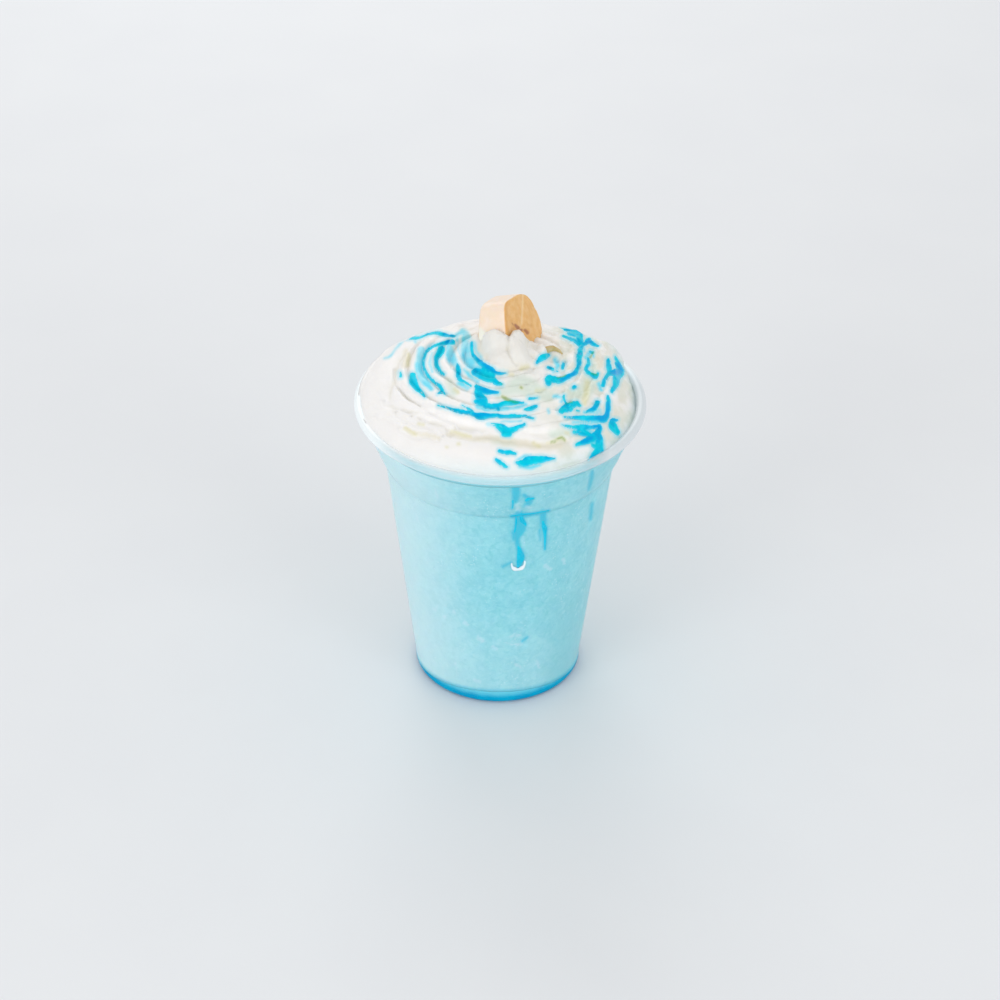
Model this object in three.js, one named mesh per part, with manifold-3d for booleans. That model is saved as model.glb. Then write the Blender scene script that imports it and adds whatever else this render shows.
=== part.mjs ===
// A banana frappe in a clear plastic cup: icy blue drink, a layer of blue syrup under it,
// piped whipped cream on top with syrup in its grooves, and a slice of banana stood in the cream.
// Millimetres, +Z up. The origin is on the cup's axis, on the surface that the cup stands on.

import * as THREE from 'three';
import { mergeVertices } from 'three/addons/utils/BufferGeometryUtils.js';
import Module from 'manifold-3d';

// Driving dimensions

const RIM_HEIGHT = 122;          // top of the rolled rim above the table
const RIM_RADIUS = 55;           // outside of the rolled rim
const RIM_ROLL = 3.4;            // height of the roll
const WALL = 0.6;                // thickness of the cup
const GAP = 0.3;                 // clearance between touching pieces

const FOOT_OUTER = 29.4;         // the flat ring that the cup stands on
const FOOT_INNER = 26.6;
const FOOT_RECESS = 1.4;         // how far the floor is raised inside the ring
const HEEL_RADIUS = 2.8;         // rounding between ring and wall
const WALL_BASE_RADIUS = 32.2;   // where the straight wall would meet the table
const WALL_TAPER = 0.12;         // radius gained for each millimetre of height
const NECK_HEIGHT = 98;          // stacking ledge, where the flare begins
const LEDGE = 0.6;
const FLARE_TOP_RADIUS = 51.8;   // outside of the flare just under the roll
const FLARE_BOW = 0.3;           // how much the flare bows outward, as a share of its run

const DRINK_TOP = 115.5;         // where the cream starts
const SYRUP_DEPTH = 4.2;         // mean height of the syrup layer's top above the table
const SYRUP_WAVE = 1.9;          // how far that top rises and falls on its way round

const CREAM_SHOULDER = 8;        // the cream's base above the rim
const SHOULDER_POWER = 9;        // a higher power makes a squarer shoulder
const CREAM_EDGE = 0.6;          // height of the cream's edge against the rim
// Bumps of the edge as [height, bearing, width]: low on the right, heaped at the back right.
const EDGE_BUMPS = [[-5, -8, 32], [2.5, 52, 20]];
const COIL_CENTRE = new THREE.Vector2(3.5, 3);
const COIL_RADIUS = 43.2;        // outer foot of the piped coil
// Bumps of the coil's foot: widest at the front left, where the rope starts from the rim.
const FOOT_BUMPS = [[4.5, 203, 13], [1.2, 222, 16], [-2.6, 258, 18], [1.8, 302, 26], [-2, 90, 50]];
const COIL_STEP = 3;             // height of the coil's outer side
const COIL_SIDE = 3.5;           // width of that side
const COIL_RISE = 5.4;           // further climb of the coil towards the peak
const CLIMB_START = 2;           // where the climb starts, inward from the foot
const CLIMB_RUN = 29;
const RIDGE_PITCH = 5.3;         // spacing of the ridges left by the star nozzle
const RIDGE_DEPTH = 2.2;
const RIDGE_STARTS = 2;          // ridges gained inward in each turn of the spiral
const RIDGE_SHIFT = -0.15;       // in ridges, so that the grooves lie where the syrup ran
const SHIFT_BUMP = [0.25, 350, 50];
const RIDGE_FADE_OUT = 4;        // distance over which ridges fade at the coil's foot
const RIDGE_FADE_IN = 5;         // and beside the peak
const PEAK_FOOT = 9;             // where the ridges beside the peak begin
const PEAK_CENTRE = new THREE.Vector2(4.6, 4);
const PEAK_RADIUS = 11.5;
const PEAK_HEIGHT = 10.5;
const PEAK_STRETCH = 1.12;       // wider along X than along Y
const PEAK_POWER = 2.4;          // a higher power makes a blunter peak
const PEAK_FOLDS = 3;            // folds that run up the peak with a twist
const FOLD_DEPTH = 0.12;         // as a share of the peak's radius
const FOLD_TWIST = 0.2;          // radians gained for each millimetre outward
const DRIZZLE_THICKNESS = 0.8;

const BANANA_RADIUS = 13.3;
const SLICE_THICKNESS = 12.4;
const SLICE_CORNER = 0.35;       // how far the five soft corners stand out
const SLICE_HEEL = [1, 114, 14]; // one sharper corner, at the upper left of the cut face
const SLICE_SOFT = 0.7;          // rounding of a slice's edges
const SLICE_FACE = new THREE.Vector3(8.9, 12, 146);    // middle of the cut face
const SLICE_TURN = -25;          // degrees that the cut face looks from +X towards the front
const SLICE_LEAN = 26;           // degrees that it looks upward

const SLIVER_SIZE = [5.4, 4.6];  // half its length and half its height
const SLIVER_THICKNESS = 3.4;
const SLIVER_FACE = new THREE.Vector3(21, 7, 136);
const SLIVER_TURN = -75;
const SLIVER_LEAN = 35;

const CUP_SECTORS = 52;
const CREAM_SECTORS = 72;
const RINGS_PER_RIDGE = 5;       // rings of the cream's surface across each ridge
const OUTER_RINGS = 3;           // rings between the coil and the cup's wall

const wasm = await Module();
wasm.setup();

// Small helpers

const radians = THREE.MathUtils.degToRad;

function smoothStep(value) {
  return THREE.MathUtils.smoothstep(value, 0, 1);
}

// A rounded bump at one bearing, in degrees, for what differs on one side of the cup.
function bump(angle, [height, at, width]) {
  const away = THREE.MathUtils.euclideanModulo(angle - radians(at) + Math.PI, 2 * Math.PI) - Math.PI;
  return height * Math.exp(-((away / radians(width)) ** 2));
}

function bumps(angle, list) {
  return list.reduce((sum, entry) => sum + bump(angle, entry), 0);
}

function arc(centreX, centreY, radius, fromDegrees, toDegrees, steps) {
  const points = [];
  for (let i = 0; i <= steps; i++) {
    const angle = radians(fromDegrees + (toDegrees - fromDegrees) * i / steps);
    points.push(new THREE.Vector2(centreX + radius * Math.cos(angle), centreY + radius * Math.sin(angle)));
  }
  return points;
}

// A lathe turned so that its axis is Z.
function turned(profile, sectors) {
  const geometry = new THREE.LatheGeometry(profile, sectors);
  geometry.rotateX(Math.PI / 2);
  return geometry;
}

// Turns a closed geometry into a solid: shared corners are merged and empty triangles dropped.
function solidOf(geometry) {
  const bare = geometry.clone();
  bare.deleteAttribute('normal');
  bare.deleteAttribute('uv');
  const merged = mergeVertices(bare, 1e-4);
  const index = merged.index.array;
  const kept = [];
  for (let i = 0; i < index.length; i += 3) {
    const [a, b, c] = [index[i], index[i + 1], index[i + 2]];
    if (a !== b && b !== c && c !== a) kept.push(a, b, c);
  }
  const positions = new Float32Array(merged.attributes.position.array);
  let solid = new wasm.Manifold(new wasm.Mesh({
    numProp: 3, vertProperties: positions, triVerts: new Uint32Array(kept),
  }));
  if (solid.volume() < 0) {
    const flipped = [];
    for (let i = 0; i < kept.length; i += 3) flipped.push(kept[i], kept[i + 2], kept[i + 1]);
    solid = new wasm.Manifold(new wasm.Mesh({
      numProp: 3, vertProperties: positions, triVerts: new Uint32Array(flipped),
    }));
  }
  return solid;
}

function meshOf(solid, name, colour, roughness) {
  const data = solid.getMesh();
  const geometry = new THREE.BufferGeometry();
  geometry.setAttribute('position', new THREE.BufferAttribute(new Float32Array(data.vertProperties), 3));
  geometry.setIndex(new THREE.BufferAttribute(new Uint32Array(data.triVerts), 1));
  geometry.computeVertexNormals();
  const material = new THREE.MeshStandardMaterial({ color: colour, roughness, metalness: 0 });
  const mesh = new THREE.Mesh(geometry, material);
  mesh.name = name;
  return mesh;
}

// Cup

// Outside radius of the flare between the ledge and the roll.
function flareRadius(height) {
  const run = (height - NECK_HEIGHT) / (RIM_HEIGHT - RIM_ROLL - NECK_HEIGHT);
  const start = wallRadius(NECK_HEIGHT) + LEDGE;
  return start + (FLARE_TOP_RADIUS - start) * ((1 + FLARE_BOW) * run - FLARE_BOW * run * run);
}

function wallRadius(height) {
  return WALL_BASE_RADIUS + WALL_TAPER * height;
}

// One side of the cup, from the foot to the roll, moved inward by a distance.
function sideProfile(inward, steps, top) {
  const points = [];
  const wallLean = THREE.MathUtils.radToDeg(Math.atan(WALL_TAPER));
  points.push(...arc(FOOT_OUTER, HEEL_RADIUS, HEEL_RADIUS - inward, -90, -wallLean, steps));
  points.push(new THREE.Vector2(wallRadius(NECK_HEIGHT - LEDGE) - inward, NECK_HEIGHT - LEDGE));
  for (let i = 0; i <= steps; i++) {
    const height = NECK_HEIGHT + (top - NECK_HEIGHT) * i / steps;
    points.push(new THREE.Vector2(flareRadius(height) - inward, height));
  }
  return points;
}

function makeCup() {
  const rollRadius = RIM_ROLL / 2;
  const rollHeight = RIM_HEIGHT - rollRadius;
  const rollOuter = RIM_RADIUS - rollRadius;
  const rollInner = FLARE_TOP_RADIUS - WALL + rollRadius;
  const flareTop = RIM_HEIGHT - RIM_ROLL;
  const floor = FOOT_RECESS + WALL;
  const profile = [
    new THREE.Vector2(0, FOOT_RECESS),
    new THREE.Vector2(FOOT_INNER - FOOT_RECESS, FOOT_RECESS),
    new THREE.Vector2(FOOT_INNER, 0),
    ...sideProfile(0, 4, flareTop),
    ...arc(rollOuter, rollHeight, rollRadius, -90, 90, 6),
    ...arc(rollInner, rollHeight, rollRadius, 90, 180, 3),
    ...sideProfile(WALL, 4, flareTop).reverse(),
    new THREE.Vector2(FOOT_INNER + WALL / 2, WALL),
    new THREE.Vector2(FOOT_INNER - FOOT_RECESS + WALL / 2, floor),
    new THREE.Vector2(0, floor),
  ];
  return solidOf(turned(profile, CUP_SECTORS));
}

// Drink and syrup layer

// Everything inside the cup up to the top of the drink, clear of its wall.
function makeFilling() {
  const inward = WALL + GAP;
  const profile = [
    new THREE.Vector2(0, FOOT_RECESS + inward),
    new THREE.Vector2(FOOT_INNER - FOOT_RECESS + inward / 2, FOOT_RECESS + inward),
    new THREE.Vector2(FOOT_INNER + inward / 2, inward),
    ...sideProfile(inward, 3, DRINK_TOP),
    new THREE.Vector2(0, DRINK_TOP),
  ];
  return solidOf(turned(profile, CUP_SECTORS));
}

// The syrup's top stands highest at the front and the back and lowest at the two sides.
function syrupTop(x, y) {
  const share = Math.min(1, Math.hypot(x, y) / FOOT_OUTER) ** 2;
  return SYRUP_DEPTH - SYRUP_WAVE * share * Math.cos(2 * Math.atan2(y, x));
}

// A wide block up to the syrup's top, raised by an amount, to divide the filling with.
function belowSyrupTop(raise) {
  const wide = 1.4 * FOOT_OUTER;
  const under = -5;
  const radii = [wide, FOOT_OUTER, 0.75 * FOOT_OUTER, 0.4 * FOOT_OUTER, 0];
  const profile = [new THREE.Vector2(0, under), new THREE.Vector2(wide, under)];
  for (const radius of radii) profile.push(new THREE.Vector2(radius, 0));
  const geometry = turned(profile, CUP_SECTORS);
  const position = geometry.attributes.position;
  for (let i = 0; i < position.count; i++) {
    if (position.getZ(i) > under / 2) {
      position.setZ(i, syrupTop(position.getX(i), position.getY(i)) + raise);
    }
  }
  return solidOf(geometry);
}

// Cream

function coilFoot(bearing) {
  return COIL_RADIUS + bumps(bearing, FOOT_BUMPS);
}

function creamEdge(bearing) {
  return CREAM_EDGE + bumps(bearing, EDGE_BUMPS);
}

// Number of ridges passed on the way out; it grows by RIDGE_STARTS in each turn.
function ridgeCount(distance, bearing) {
  const wobble = 0.06 * Math.sin(3 * bearing + 0.6) + 0.04 * Math.sin(7 * bearing);
  const shift = RIDGE_SHIFT + bump(bearing, SHIFT_BUMP);
  return distance / RIDGE_PITCH + RIDGE_STARTS * bearing / (2 * Math.PI) + wobble + shift;
}

// Syrup strokes on the cream: each is a run of [distance, bearing] from the coil's centre, and a half width.
const DRIZZLE = [
  { half: 1.8, run: [[36.2, 190], [38.5, 208], [38.5, 217]] },
  { half: 1.4, run: [[28.5, 149], [32, 162], [32.5, 190], [31, 210], [32, 222]] },
  { half: 1.3, run: [[25.9, 165], [27.9, 176], [26.5, 205]] },
  { half: 1.5, run: [[22.2, 165], [21.7, 198], [24.1, 230]] },
  { half: 2.8, run: [[24, 134], [16.4, 168], [15, 216], [16.6, 246]] },
  { half: 1.5, run: [[44.8, 140], [33.6, 138], [28, 138]] },
  { half: 2.6, run: [[24.6, 240], [21.4, 259]] },
  { half: 1.4, run: [[37.6, 229], [36.2, 250], [34.8, 268], [36, 285]] },
  { half: 2.2, run: [[40, 265], [40.5, 277]] },
  { half: 1.8, run: [[21, 310], [23.4, 324], [25.7, 350], [28.2, 383], [32.2, 401], [33, 413]] },
  { half: 1.8, run: [[14.6, 327], [15.2, 365]] },
  { half: 1.6, run: [[37.2, 339], [36.2, 357], [36.7, 374]] },
  { half: 2.4, run: [[40.8, 343], [41.8, 370]] },
  { half: 1.6, run: [[35.2, 299], [34.7, 309], [35.7, 318]] },
  { half: 1.4, run: [[39.3, 299], [41.8, 309], [43.2, 322], [39.6, 337]] },
  { half: 2, run: [[45.6, 301], [46.4, 316]] },
  { half: 3, run: [[33, 413], [34.8, 400], [37.6, 387]] },
];

// How far a point is from a stroke, both in polar terms about the coil's centre.
function strokeDistance(distance, bearing, run) {
  let least = Infinity;
  for (let i = 1; i < run.length; i++) {
    const [fromDistance, fromBearing] = run[i - 1];
    const [toDistance, toBearing] = run[i];
    const middle = radians((fromBearing + toBearing) / 2);
    const turnsAway = Math.round((middle - bearing) / (2 * Math.PI));
    const here = bearing + 2 * Math.PI * turnsAway;
    const span = radians(toBearing - fromBearing);
    const along = span === 0 ? 0 : THREE.MathUtils.clamp((here - radians(fromBearing)) / span, 0, 1);
    const across = distance - (fromDistance + (toDistance - fromDistance) * along);
    const past = distance * (here - radians(fromBearing) - span * along);
    least = Math.min(least, Math.hypot(across, past));
  }
  return least;
}

function drizzleHeight(distance, bearing) {
  let height = 0;
  for (const { half, run } of DRIZZLE) {
    const away = strokeDistance(distance, bearing, run) / half;
    if (away < 1) height = Math.max(height, DRIZZLE_THICKNESS * (1 - away * away));
  }
  return height;
}

// Height of the cream above the table at a point: base, coil with ridges, syrup, and peak.
function creamTop(x, y) {
  const radius = Math.hypot(x, y);
  const edge = creamEdge(Math.atan2(y, x));
  const fullness = 1 - Math.min(1, radius / (FLARE_TOP_RADIUS - WALL)) ** SHOULDER_POWER;
  const base = edge + (CREAM_SHOULDER - edge) * fullness;

  const distance = Math.hypot(x - COIL_CENTRE.x, y - COIL_CENTRE.y);
  const bearing = Math.atan2(y - COIL_CENTRE.y, x - COIL_CENTRE.x);
  const inside = coilFoot(bearing) - distance;
  const climb = THREE.MathUtils.clamp((inside - CLIMB_START) / CLIMB_RUN, 0, 1);
  const coil = COIL_STEP * smoothStep(inside / COIL_SIDE) + COIL_RISE * climb;

  const count = ridgeCount(distance, bearing);
  const crest = 0.5 - 0.5 * Math.cos(2 * Math.PI * count);
  const faded = smoothStep(inside / RIDGE_FADE_OUT) * smoothStep((distance - PEAK_FOOT) / RIDGE_FADE_IN);
  const ridge = RIDGE_DEPTH * faded * (crest - 0.5);

  const across = Math.hypot((x - PEAK_CENTRE.x) / PEAK_STRETCH, y - PEAK_CENTRE.y);
  const turn = Math.atan2(y - PEAK_CENTRE.y, x - PEAK_CENTRE.x) + FOLD_TWIST * across;
  const peakRadius = PEAK_RADIUS * (1 + FOLD_DEPTH * Math.cos(PEAK_FOLDS * turn));
  const peak = PEAK_HEIGHT * (1 - Math.min(1, across / peakRadius) ** PEAK_POWER);
  return RIM_HEIGHT + base + coil + ridge + peak + drizzleHeight(distance, bearing);
}

// Distance from the coil's centre to a circle round the cup's axis, along a bearing.
function reach(bearing, radius) {
  const along = COIL_CENTRE.x * Math.cos(bearing) + COIL_CENTRE.y * Math.sin(bearing);
  return Math.sqrt(radius * radius - COIL_CENTRE.lengthSq() + along * along) - along;
}

// The surface is a fan of rings round the coil's centre that widen to meet the cup's wall.
function makeCream() {
  const bottom = DRINK_TOP + GAP;
  const inward = WALL + GAP;
  const bottomRadius = flareRadius(bottom) - inward;
  const topRadius = flareRadius(RIM_HEIGHT - RIM_ROLL) - inward;
  const ring = RIDGE_PITCH / RINGS_PER_RIDGE;
  const coilRings = Math.round(COIL_RADIUS / ring);
  const rings = coilRings + OUTER_RINGS;
  const profile = [new THREE.Vector2(0, -1), new THREE.Vector2(rings, -1)];
  for (let i = rings; i >= 0; i--) profile.push(new THREE.Vector2(i, 1));
  const geometry = turned(profile, CREAM_SECTORS);
  const position = geometry.attributes.position;
  for (let i = 0; i < position.count; i++) {
    const isTop = position.getZ(i) > 0;
    const number = Math.hypot(position.getX(i), position.getY(i));
    const bearing = Math.atan2(position.getY(i), position.getX(i));
    const wall = reach(bearing, isTop ? topRadius : bottomRadius);
    const outward = Math.max(0, number - coilRings) / OUTER_RINGS;
    const distance = Math.min(number, coilRings) * ring;
    const spread = distance + outward * (wall - distance);
    const x = COIL_CENTRE.x + spread * Math.cos(bearing);
    const y = COIL_CENTRE.y + spread * Math.sin(bearing);
    position.setXYZ(i, x, y, isTop ? creamTop(x, y) : bottom);
  }
  return solidOf(geometry);
}

// Banana

// Outline of the banana's cross-section: nearly round, with five soft corners.
function bananaSection(grow) {
  const points = [];
  const corners = 40;
  for (let i = 0; i < corners; i++) {
    const angle = 2 * Math.PI * i / corners;
    const soft = SLICE_CORNER * Math.cos(5 * (angle - radians(SLICE_HEEL[1])));
    const radius = BANANA_RADIUS + soft + bump(angle, SLICE_HEEL) + grow;
    points.push(new THREE.Vector2(radius * Math.cos(angle), radius * Math.sin(angle)));
  }
  return new THREE.Shape(points);
}

// An outline given thickness behind its face, with soft edges, turned to look along a direction.
function slab(shape, thickness, soft, grow, face, turnDegrees, leanDegrees) {
  const geometry = new THREE.ExtrudeGeometry(shape, {
    depth: thickness - 2 * soft + 2 * grow,
    bevelEnabled: true, bevelThickness: soft, bevelSize: soft, bevelSegments: 2, steps: 1,
  });
  geometry.translate(0, 0, soft - thickness - grow);
  const turn = radians(turnDegrees);
  const lean = radians(leanDegrees);
  const level = Math.cos(lean);
  const facing = new THREE.Vector3(level * Math.cos(turn), level * Math.sin(turn), Math.sin(lean));
  const upward = new THREE.Vector3(0, 0, 1).addScaledVector(facing, -facing.z).normalize();
  const sideways = new THREE.Vector3().crossVectors(upward, facing);
  geometry.applyMatrix4(new THREE.Matrix4().makeBasis(sideways, upward, facing).setPosition(face));
  return solidOf(geometry);
}

function makeSlice(grow) {
  const outline = bananaSection(grow - SLICE_SOFT);
  return slab(outline, SLICE_THICKNESS, SLICE_SOFT, grow, SLICE_FACE, SLICE_TURN, SLICE_LEAN);
}

// A thin end of banana, most of it sunk in the cream.
function makeSliver(grow) {
  const outline = new THREE.Shape();
  const [halfLength, halfHeight] = SLIVER_SIZE;
  outline.absellipse(0, 0, halfLength + grow - SLICE_SOFT, halfHeight + grow - SLICE_SOFT, 0, 2 * Math.PI);
  const shape = new THREE.Shape(outline.getSpacedPoints(20).slice(0, -1));
  return slab(shape, SLIVER_THICKNESS, SLICE_SOFT, grow, SLIVER_FACE, SLIVER_TURN, SLIVER_LEAN);
}

// The object

const filling = makeFilling();
const pockets = makeSlice(GAP).add(makeSliver(GAP));
const frappe = new THREE.Group();
frappe.name = 'banana_frappe';
frappe.add(meshOf(makeCup(), 'cup', 0xe6eef2, 0.08));
frappe.add(meshOf(filling.intersect(belowSyrupTop(0)), 'base_syrup', 0x06a0d8, 0.2));
frappe.add(meshOf(filling.subtract(belowSyrupTop(GAP)), 'drink', 0x9cdde8, 0.45));
frappe.add(meshOf(makeCream().subtract(pockets), 'cream', 0xf3f1ee, 0.5));
frappe.add(meshOf(makeSlice(0), 'banana_slice', 0xe8bf85, 0.5));
frappe.add(meshOf(makeSliver(0), 'banana_sliver', 0xbfae80, 0.5));

export default frappe;
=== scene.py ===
# %% [markdown]
# A banana frappe in its clear cup
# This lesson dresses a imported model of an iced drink. The model gives the true sizes: a flared cup,
# a pale blue drink, a layer of syrup, whipped cream and a slice of banana. Here each of them gets a
# finer surface and a finish. Every length in the formulas is in millimetres, as on the model's plan,
# and is turned into metres only when a mesh is made.

# %% Load the frame
import math
import bpy
import numpy as np
from mathutils import Matrix, Vector


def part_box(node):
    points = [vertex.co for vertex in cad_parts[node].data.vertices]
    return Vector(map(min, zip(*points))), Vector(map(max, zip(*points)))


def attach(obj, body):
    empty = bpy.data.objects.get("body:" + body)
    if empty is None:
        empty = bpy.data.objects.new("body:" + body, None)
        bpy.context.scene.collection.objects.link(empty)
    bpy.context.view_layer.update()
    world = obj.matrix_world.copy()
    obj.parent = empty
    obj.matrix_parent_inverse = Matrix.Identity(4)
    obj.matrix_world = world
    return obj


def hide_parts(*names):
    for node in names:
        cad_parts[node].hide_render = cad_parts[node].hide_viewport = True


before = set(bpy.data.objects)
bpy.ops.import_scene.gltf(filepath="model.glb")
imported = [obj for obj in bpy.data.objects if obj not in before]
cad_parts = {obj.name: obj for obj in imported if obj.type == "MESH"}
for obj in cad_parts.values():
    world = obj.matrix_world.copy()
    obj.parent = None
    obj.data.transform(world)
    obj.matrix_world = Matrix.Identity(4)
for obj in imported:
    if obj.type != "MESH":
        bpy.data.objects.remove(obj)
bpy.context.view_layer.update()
MM = 0.001
cup_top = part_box("cup")[1]
RIM_HEIGHT = cup_top[2] / MM
RIM_RADIUS = cup_top[0] / MM
print("rim", round(RIM_HEIGHT, 1), "mm high and", round(2 * RIM_RADIUS, 1), "mm across")

# %% [markdown]
# The camera
# The photograph was taken from above the rim with a long lens. The distance, height and lens below
# were found by matching the rim's oval and the taper of the cup. The camera comes first, because
# the syrup is later laid on the cream along its lines of sight.

# %% Camera
IMAGE_SIDE = 1000
FOCAL_PIXELS = 2800.0
CAMERA_DISTANCE = 1080.0
CAMERA_ELEVATION = math.radians(34.93)
CAMERA_ROLL = 0.0108
IMAGE_CENTRE = np.array([499.1, 500.0])
AIM = np.array([0, 0, 74.7])
BACKWARD = np.array([0, -math.cos(CAMERA_ELEVATION), math.sin(CAMERA_ELEVATION)])
UPWARD = np.array([0, math.sin(CAMERA_ELEVATION), math.cos(CAMERA_ELEVATION)])


def to_pixels(points):
    """Where points in millimetres fall in the photograph: sideways and upward offsets from the aim,
    divided by depth, times the focal length, with the small roll of the camera."""
    offset = points - AIM
    depth = CAMERA_DISTANCE - offset @ BACKWARD
    across = FOCAL_PIXELS * offset[..., 0] / depth
    above = FOCAL_PIXELS * (offset @ UPWARD) / depth
    return np.stack([IMAGE_CENTRE[0] + across, IMAGE_CENTRE[1] - above + CAMERA_ROLL * across], -1)


camera_data = bpy.data.cameras.new("camera")
camera_data.sensor_width = 36.0
camera_data.lens = FOCAL_PIXELS / IMAGE_SIDE * camera_data.sensor_width
camera_data.shift_x = (IMAGE_SIDE / 2 - IMAGE_CENTRE[0]) / IMAGE_SIDE
camera = bpy.data.objects.new("camera", camera_data)
bpy.context.scene.collection.objects.link(camera)
camera.matrix_world = (
    Matrix.Translation(Vector((AIM + BACKWARD * CAMERA_DISTANCE) * MM))
    @ Vector(-BACKWARD).to_track_quat("-Z", "Y").to_matrix().to_4x4()
    @ Matrix.Rotation(CAMERA_ROLL, 4, "Z")
)
bpy.context.scene.camera = camera
print("lens", round(camera_data.lens, 1), "mm")

# %% [markdown]
# Meshes from arrays
# Every new piece is a grid of points worked out by a formula. The helpers below turn such a grid into
# a mesh. A closed piece is a stack of rings whose first and last ring are shut by a fan of triangles.

# %% Mesh helpers


def add_piece(name, points, faces, values=None):
    """A mesh object from points in millimetres and lists of corners, with named values for each point
    kept as attributes. It rides on the one body of the model."""
    mesh = bpy.data.meshes.new(name)
    mesh.from_pydata((points * MM).tolist(), [], faces)
    for label, numbers in (values or {}).items():
        layer = mesh.attributes.new(label, "FLOAT", "POINT")
        layer.data.foreach_set("value", np.ascontiguousarray(numbers, np.float32).ravel())
    mesh.polygons.foreach_set("use_smooth", np.ones(len(mesh.polygons), bool))
    mesh.update()
    piece = bpy.data.objects.new(name, mesh)
    bpy.context.scene.collection.objects.link(piece)
    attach(piece, "root")
    triangles = sum(len(face) - 2 for face in faces)
    print(name, len(points), "points,", triangles, "triangles")
    return piece


def grid_faces(rows, columns, wrap):
    """The four corners of each cell of a grid numbered row by row. With wrap the last column joins
    the first."""
    row, column = np.meshgrid(np.arange(rows - 1), np.arange(columns - (not wrap)), indexing="ij")
    after = (column + 1) % columns
    corners = [row * columns + column, row * columns + after,
               (row + 1) * columns + after, (row + 1) * columns + column]
    return np.stack(corners, -1).reshape(-1, 4)


def closed_rings(name, rings, values=None):
    """A closed piece from an array of rings, each a row of points, with a pole in the middle of the
    first and the last. The faces are turned over if the volume they enclose comes out negative."""
    rows, columns = rings.shape[:2]
    points = np.vstack([rings.reshape(-1, 3), rings[0].mean(0), rings[-1].mean(0)])
    quads = grid_faces(rows, columns, wrap=True)
    first, last = quads[:columns, :2], quads[-columns:, 2:]
    near = np.column_stack([first[:, ::-1], np.full(columns, rows * columns)])
    far = np.column_stack([last[:, ::-1], np.full(columns, rows * columns + 1)])
    halves = np.vstack([quads[:, :3], quads[:, [0, 2, 3]], near, far])
    corner = points[halves]
    volume = (corner[:, 0] * np.cross(corner[:, 1], corner[:, 2])).sum()
    turn = slice(None) if volume > 0 else slice(None, None, -1)
    faces = quads[:, turn].tolist() + near[:, turn].tolist() + far[:, turn].tolist()
    kept = {}
    for label, numbers in (values or {}).items():
        kept[label] = np.concatenate([numbers.ravel(), [numbers[0].mean(), numbers[-1].mean()]])
    return add_piece(name, points, faces, kept)


def turned(radius, angle, height):
    """Points at a radius from the Z axis, an angle round it and a height."""
    return np.stack([radius * np.cos(angle), radius * np.sin(angle), height], -1)


def about_axis(radius, height, columns):
    """Rings round the Z axis. Radius and height hold a row for each ring."""
    angle = np.linspace(0, 2 * np.pi, columns, endpoint=False)
    radius, height = np.broadcast_arrays(radius, height, np.zeros(columns))[:2]
    return turned(radius, angle, height)


# %% [markdown]
# Uneven surfaces
# Food is never smooth. A small noise function adds lumps of a chosen size. It draws random
# heights on a square lattice from a fixed seed and blends between them, so every run is the same.

# %% Noise
LATTICE = 256
WIDE_SIZE, FINE_SIZE = 7.0, 2.6
WIDE_SHARE, FINE_SHARE = 0.7, 0.3


def smooth_step(value):
    """0 below 0, 1 above 1, and 3v^2 - 2v^3 between."""
    value = np.clip(value, 0, 1)
    return value * value * (3 - 2 * value)


def lumps(x, y, size, seed):
    """Smooth random heights between -1 and 1 with lumps of the given size: random numbers at lattice
    points, blended between the four nearest by a smooth step."""
    table = np.random.default_rng(seed).uniform(-1, 1, (LATTICE, LATTICE))
    u, v = x / size + LATTICE, y / size + LATTICE
    column, row = np.floor(u).astype(int), np.floor(v).astype(int)
    a, b = smooth_step(u - column), smooth_step(v - row)
    column, row = column % LATTICE, row % LATTICE
    right, above = (column + 1) % LATTICE, (row + 1) % LATTICE
    low = table[row, column] * (1 - a) + table[row, right] * a
    high = table[above, column] * (1 - a) + table[above, right] * a
    return low * (1 - b) + high * b


def bump(angle, height, at, width):
    """A rounded bump at one bearing: height times exp(-(away / width)^2), in degrees."""
    away = (angle - math.radians(at) + np.pi) % (2 * np.pi) - np.pi
    return height * np.exp(-((away / math.radians(width)) ** 2))


# %% [markdown]
# Finishes in Python
# Shader nodes are easier to read as sums. The class below wraps a node's socket, so that plus, minus,
# times and divide add Math nodes. Colours are mixed by a Mix node, because a Math node would make
# them grey. A finish is a material with one method that adds any other node.

# %% Shader helpers


class Number:
    """A number that varies over a surface: a node's output socket, with arithmetic."""

    def __init__(self, finish, socket):
        self.finish, self.socket = finish, socket

    def math(self, operation, first, second):
        """A Math node of two numbers."""
        return self.finish.node("ShaderNodeMath", {"operation": operation}, {0: first, 1: second})

    def __add__(self, other):
        return self.math("ADD", self, other)

    __radd__ = __add__

    def __sub__(self, other):
        return self.math("SUBTRACT", self, other)

    def __rsub__(self, other):
        return self.math("SUBTRACT", other, self)

    def __mul__(self, other):
        return self.math("MULTIPLY", self, other)

    __rmul__ = __mul__

    def __truediv__(self, other):
        return self.math("DIVIDE", self, other)

    def at_most(self, other):
        return self.math("MINIMUM", self, other)

    def step(self, low, high):
        """0 below low, 1 above high, smooth between; the other way round if low is the higher."""
        settings = {"interpolation_type": "SMOOTHSTEP"}
        inputs = {"Value": self, "From Min": low, "From Max": high}
        return self.finish.node("ShaderNodeMapRange", settings, inputs)


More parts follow.
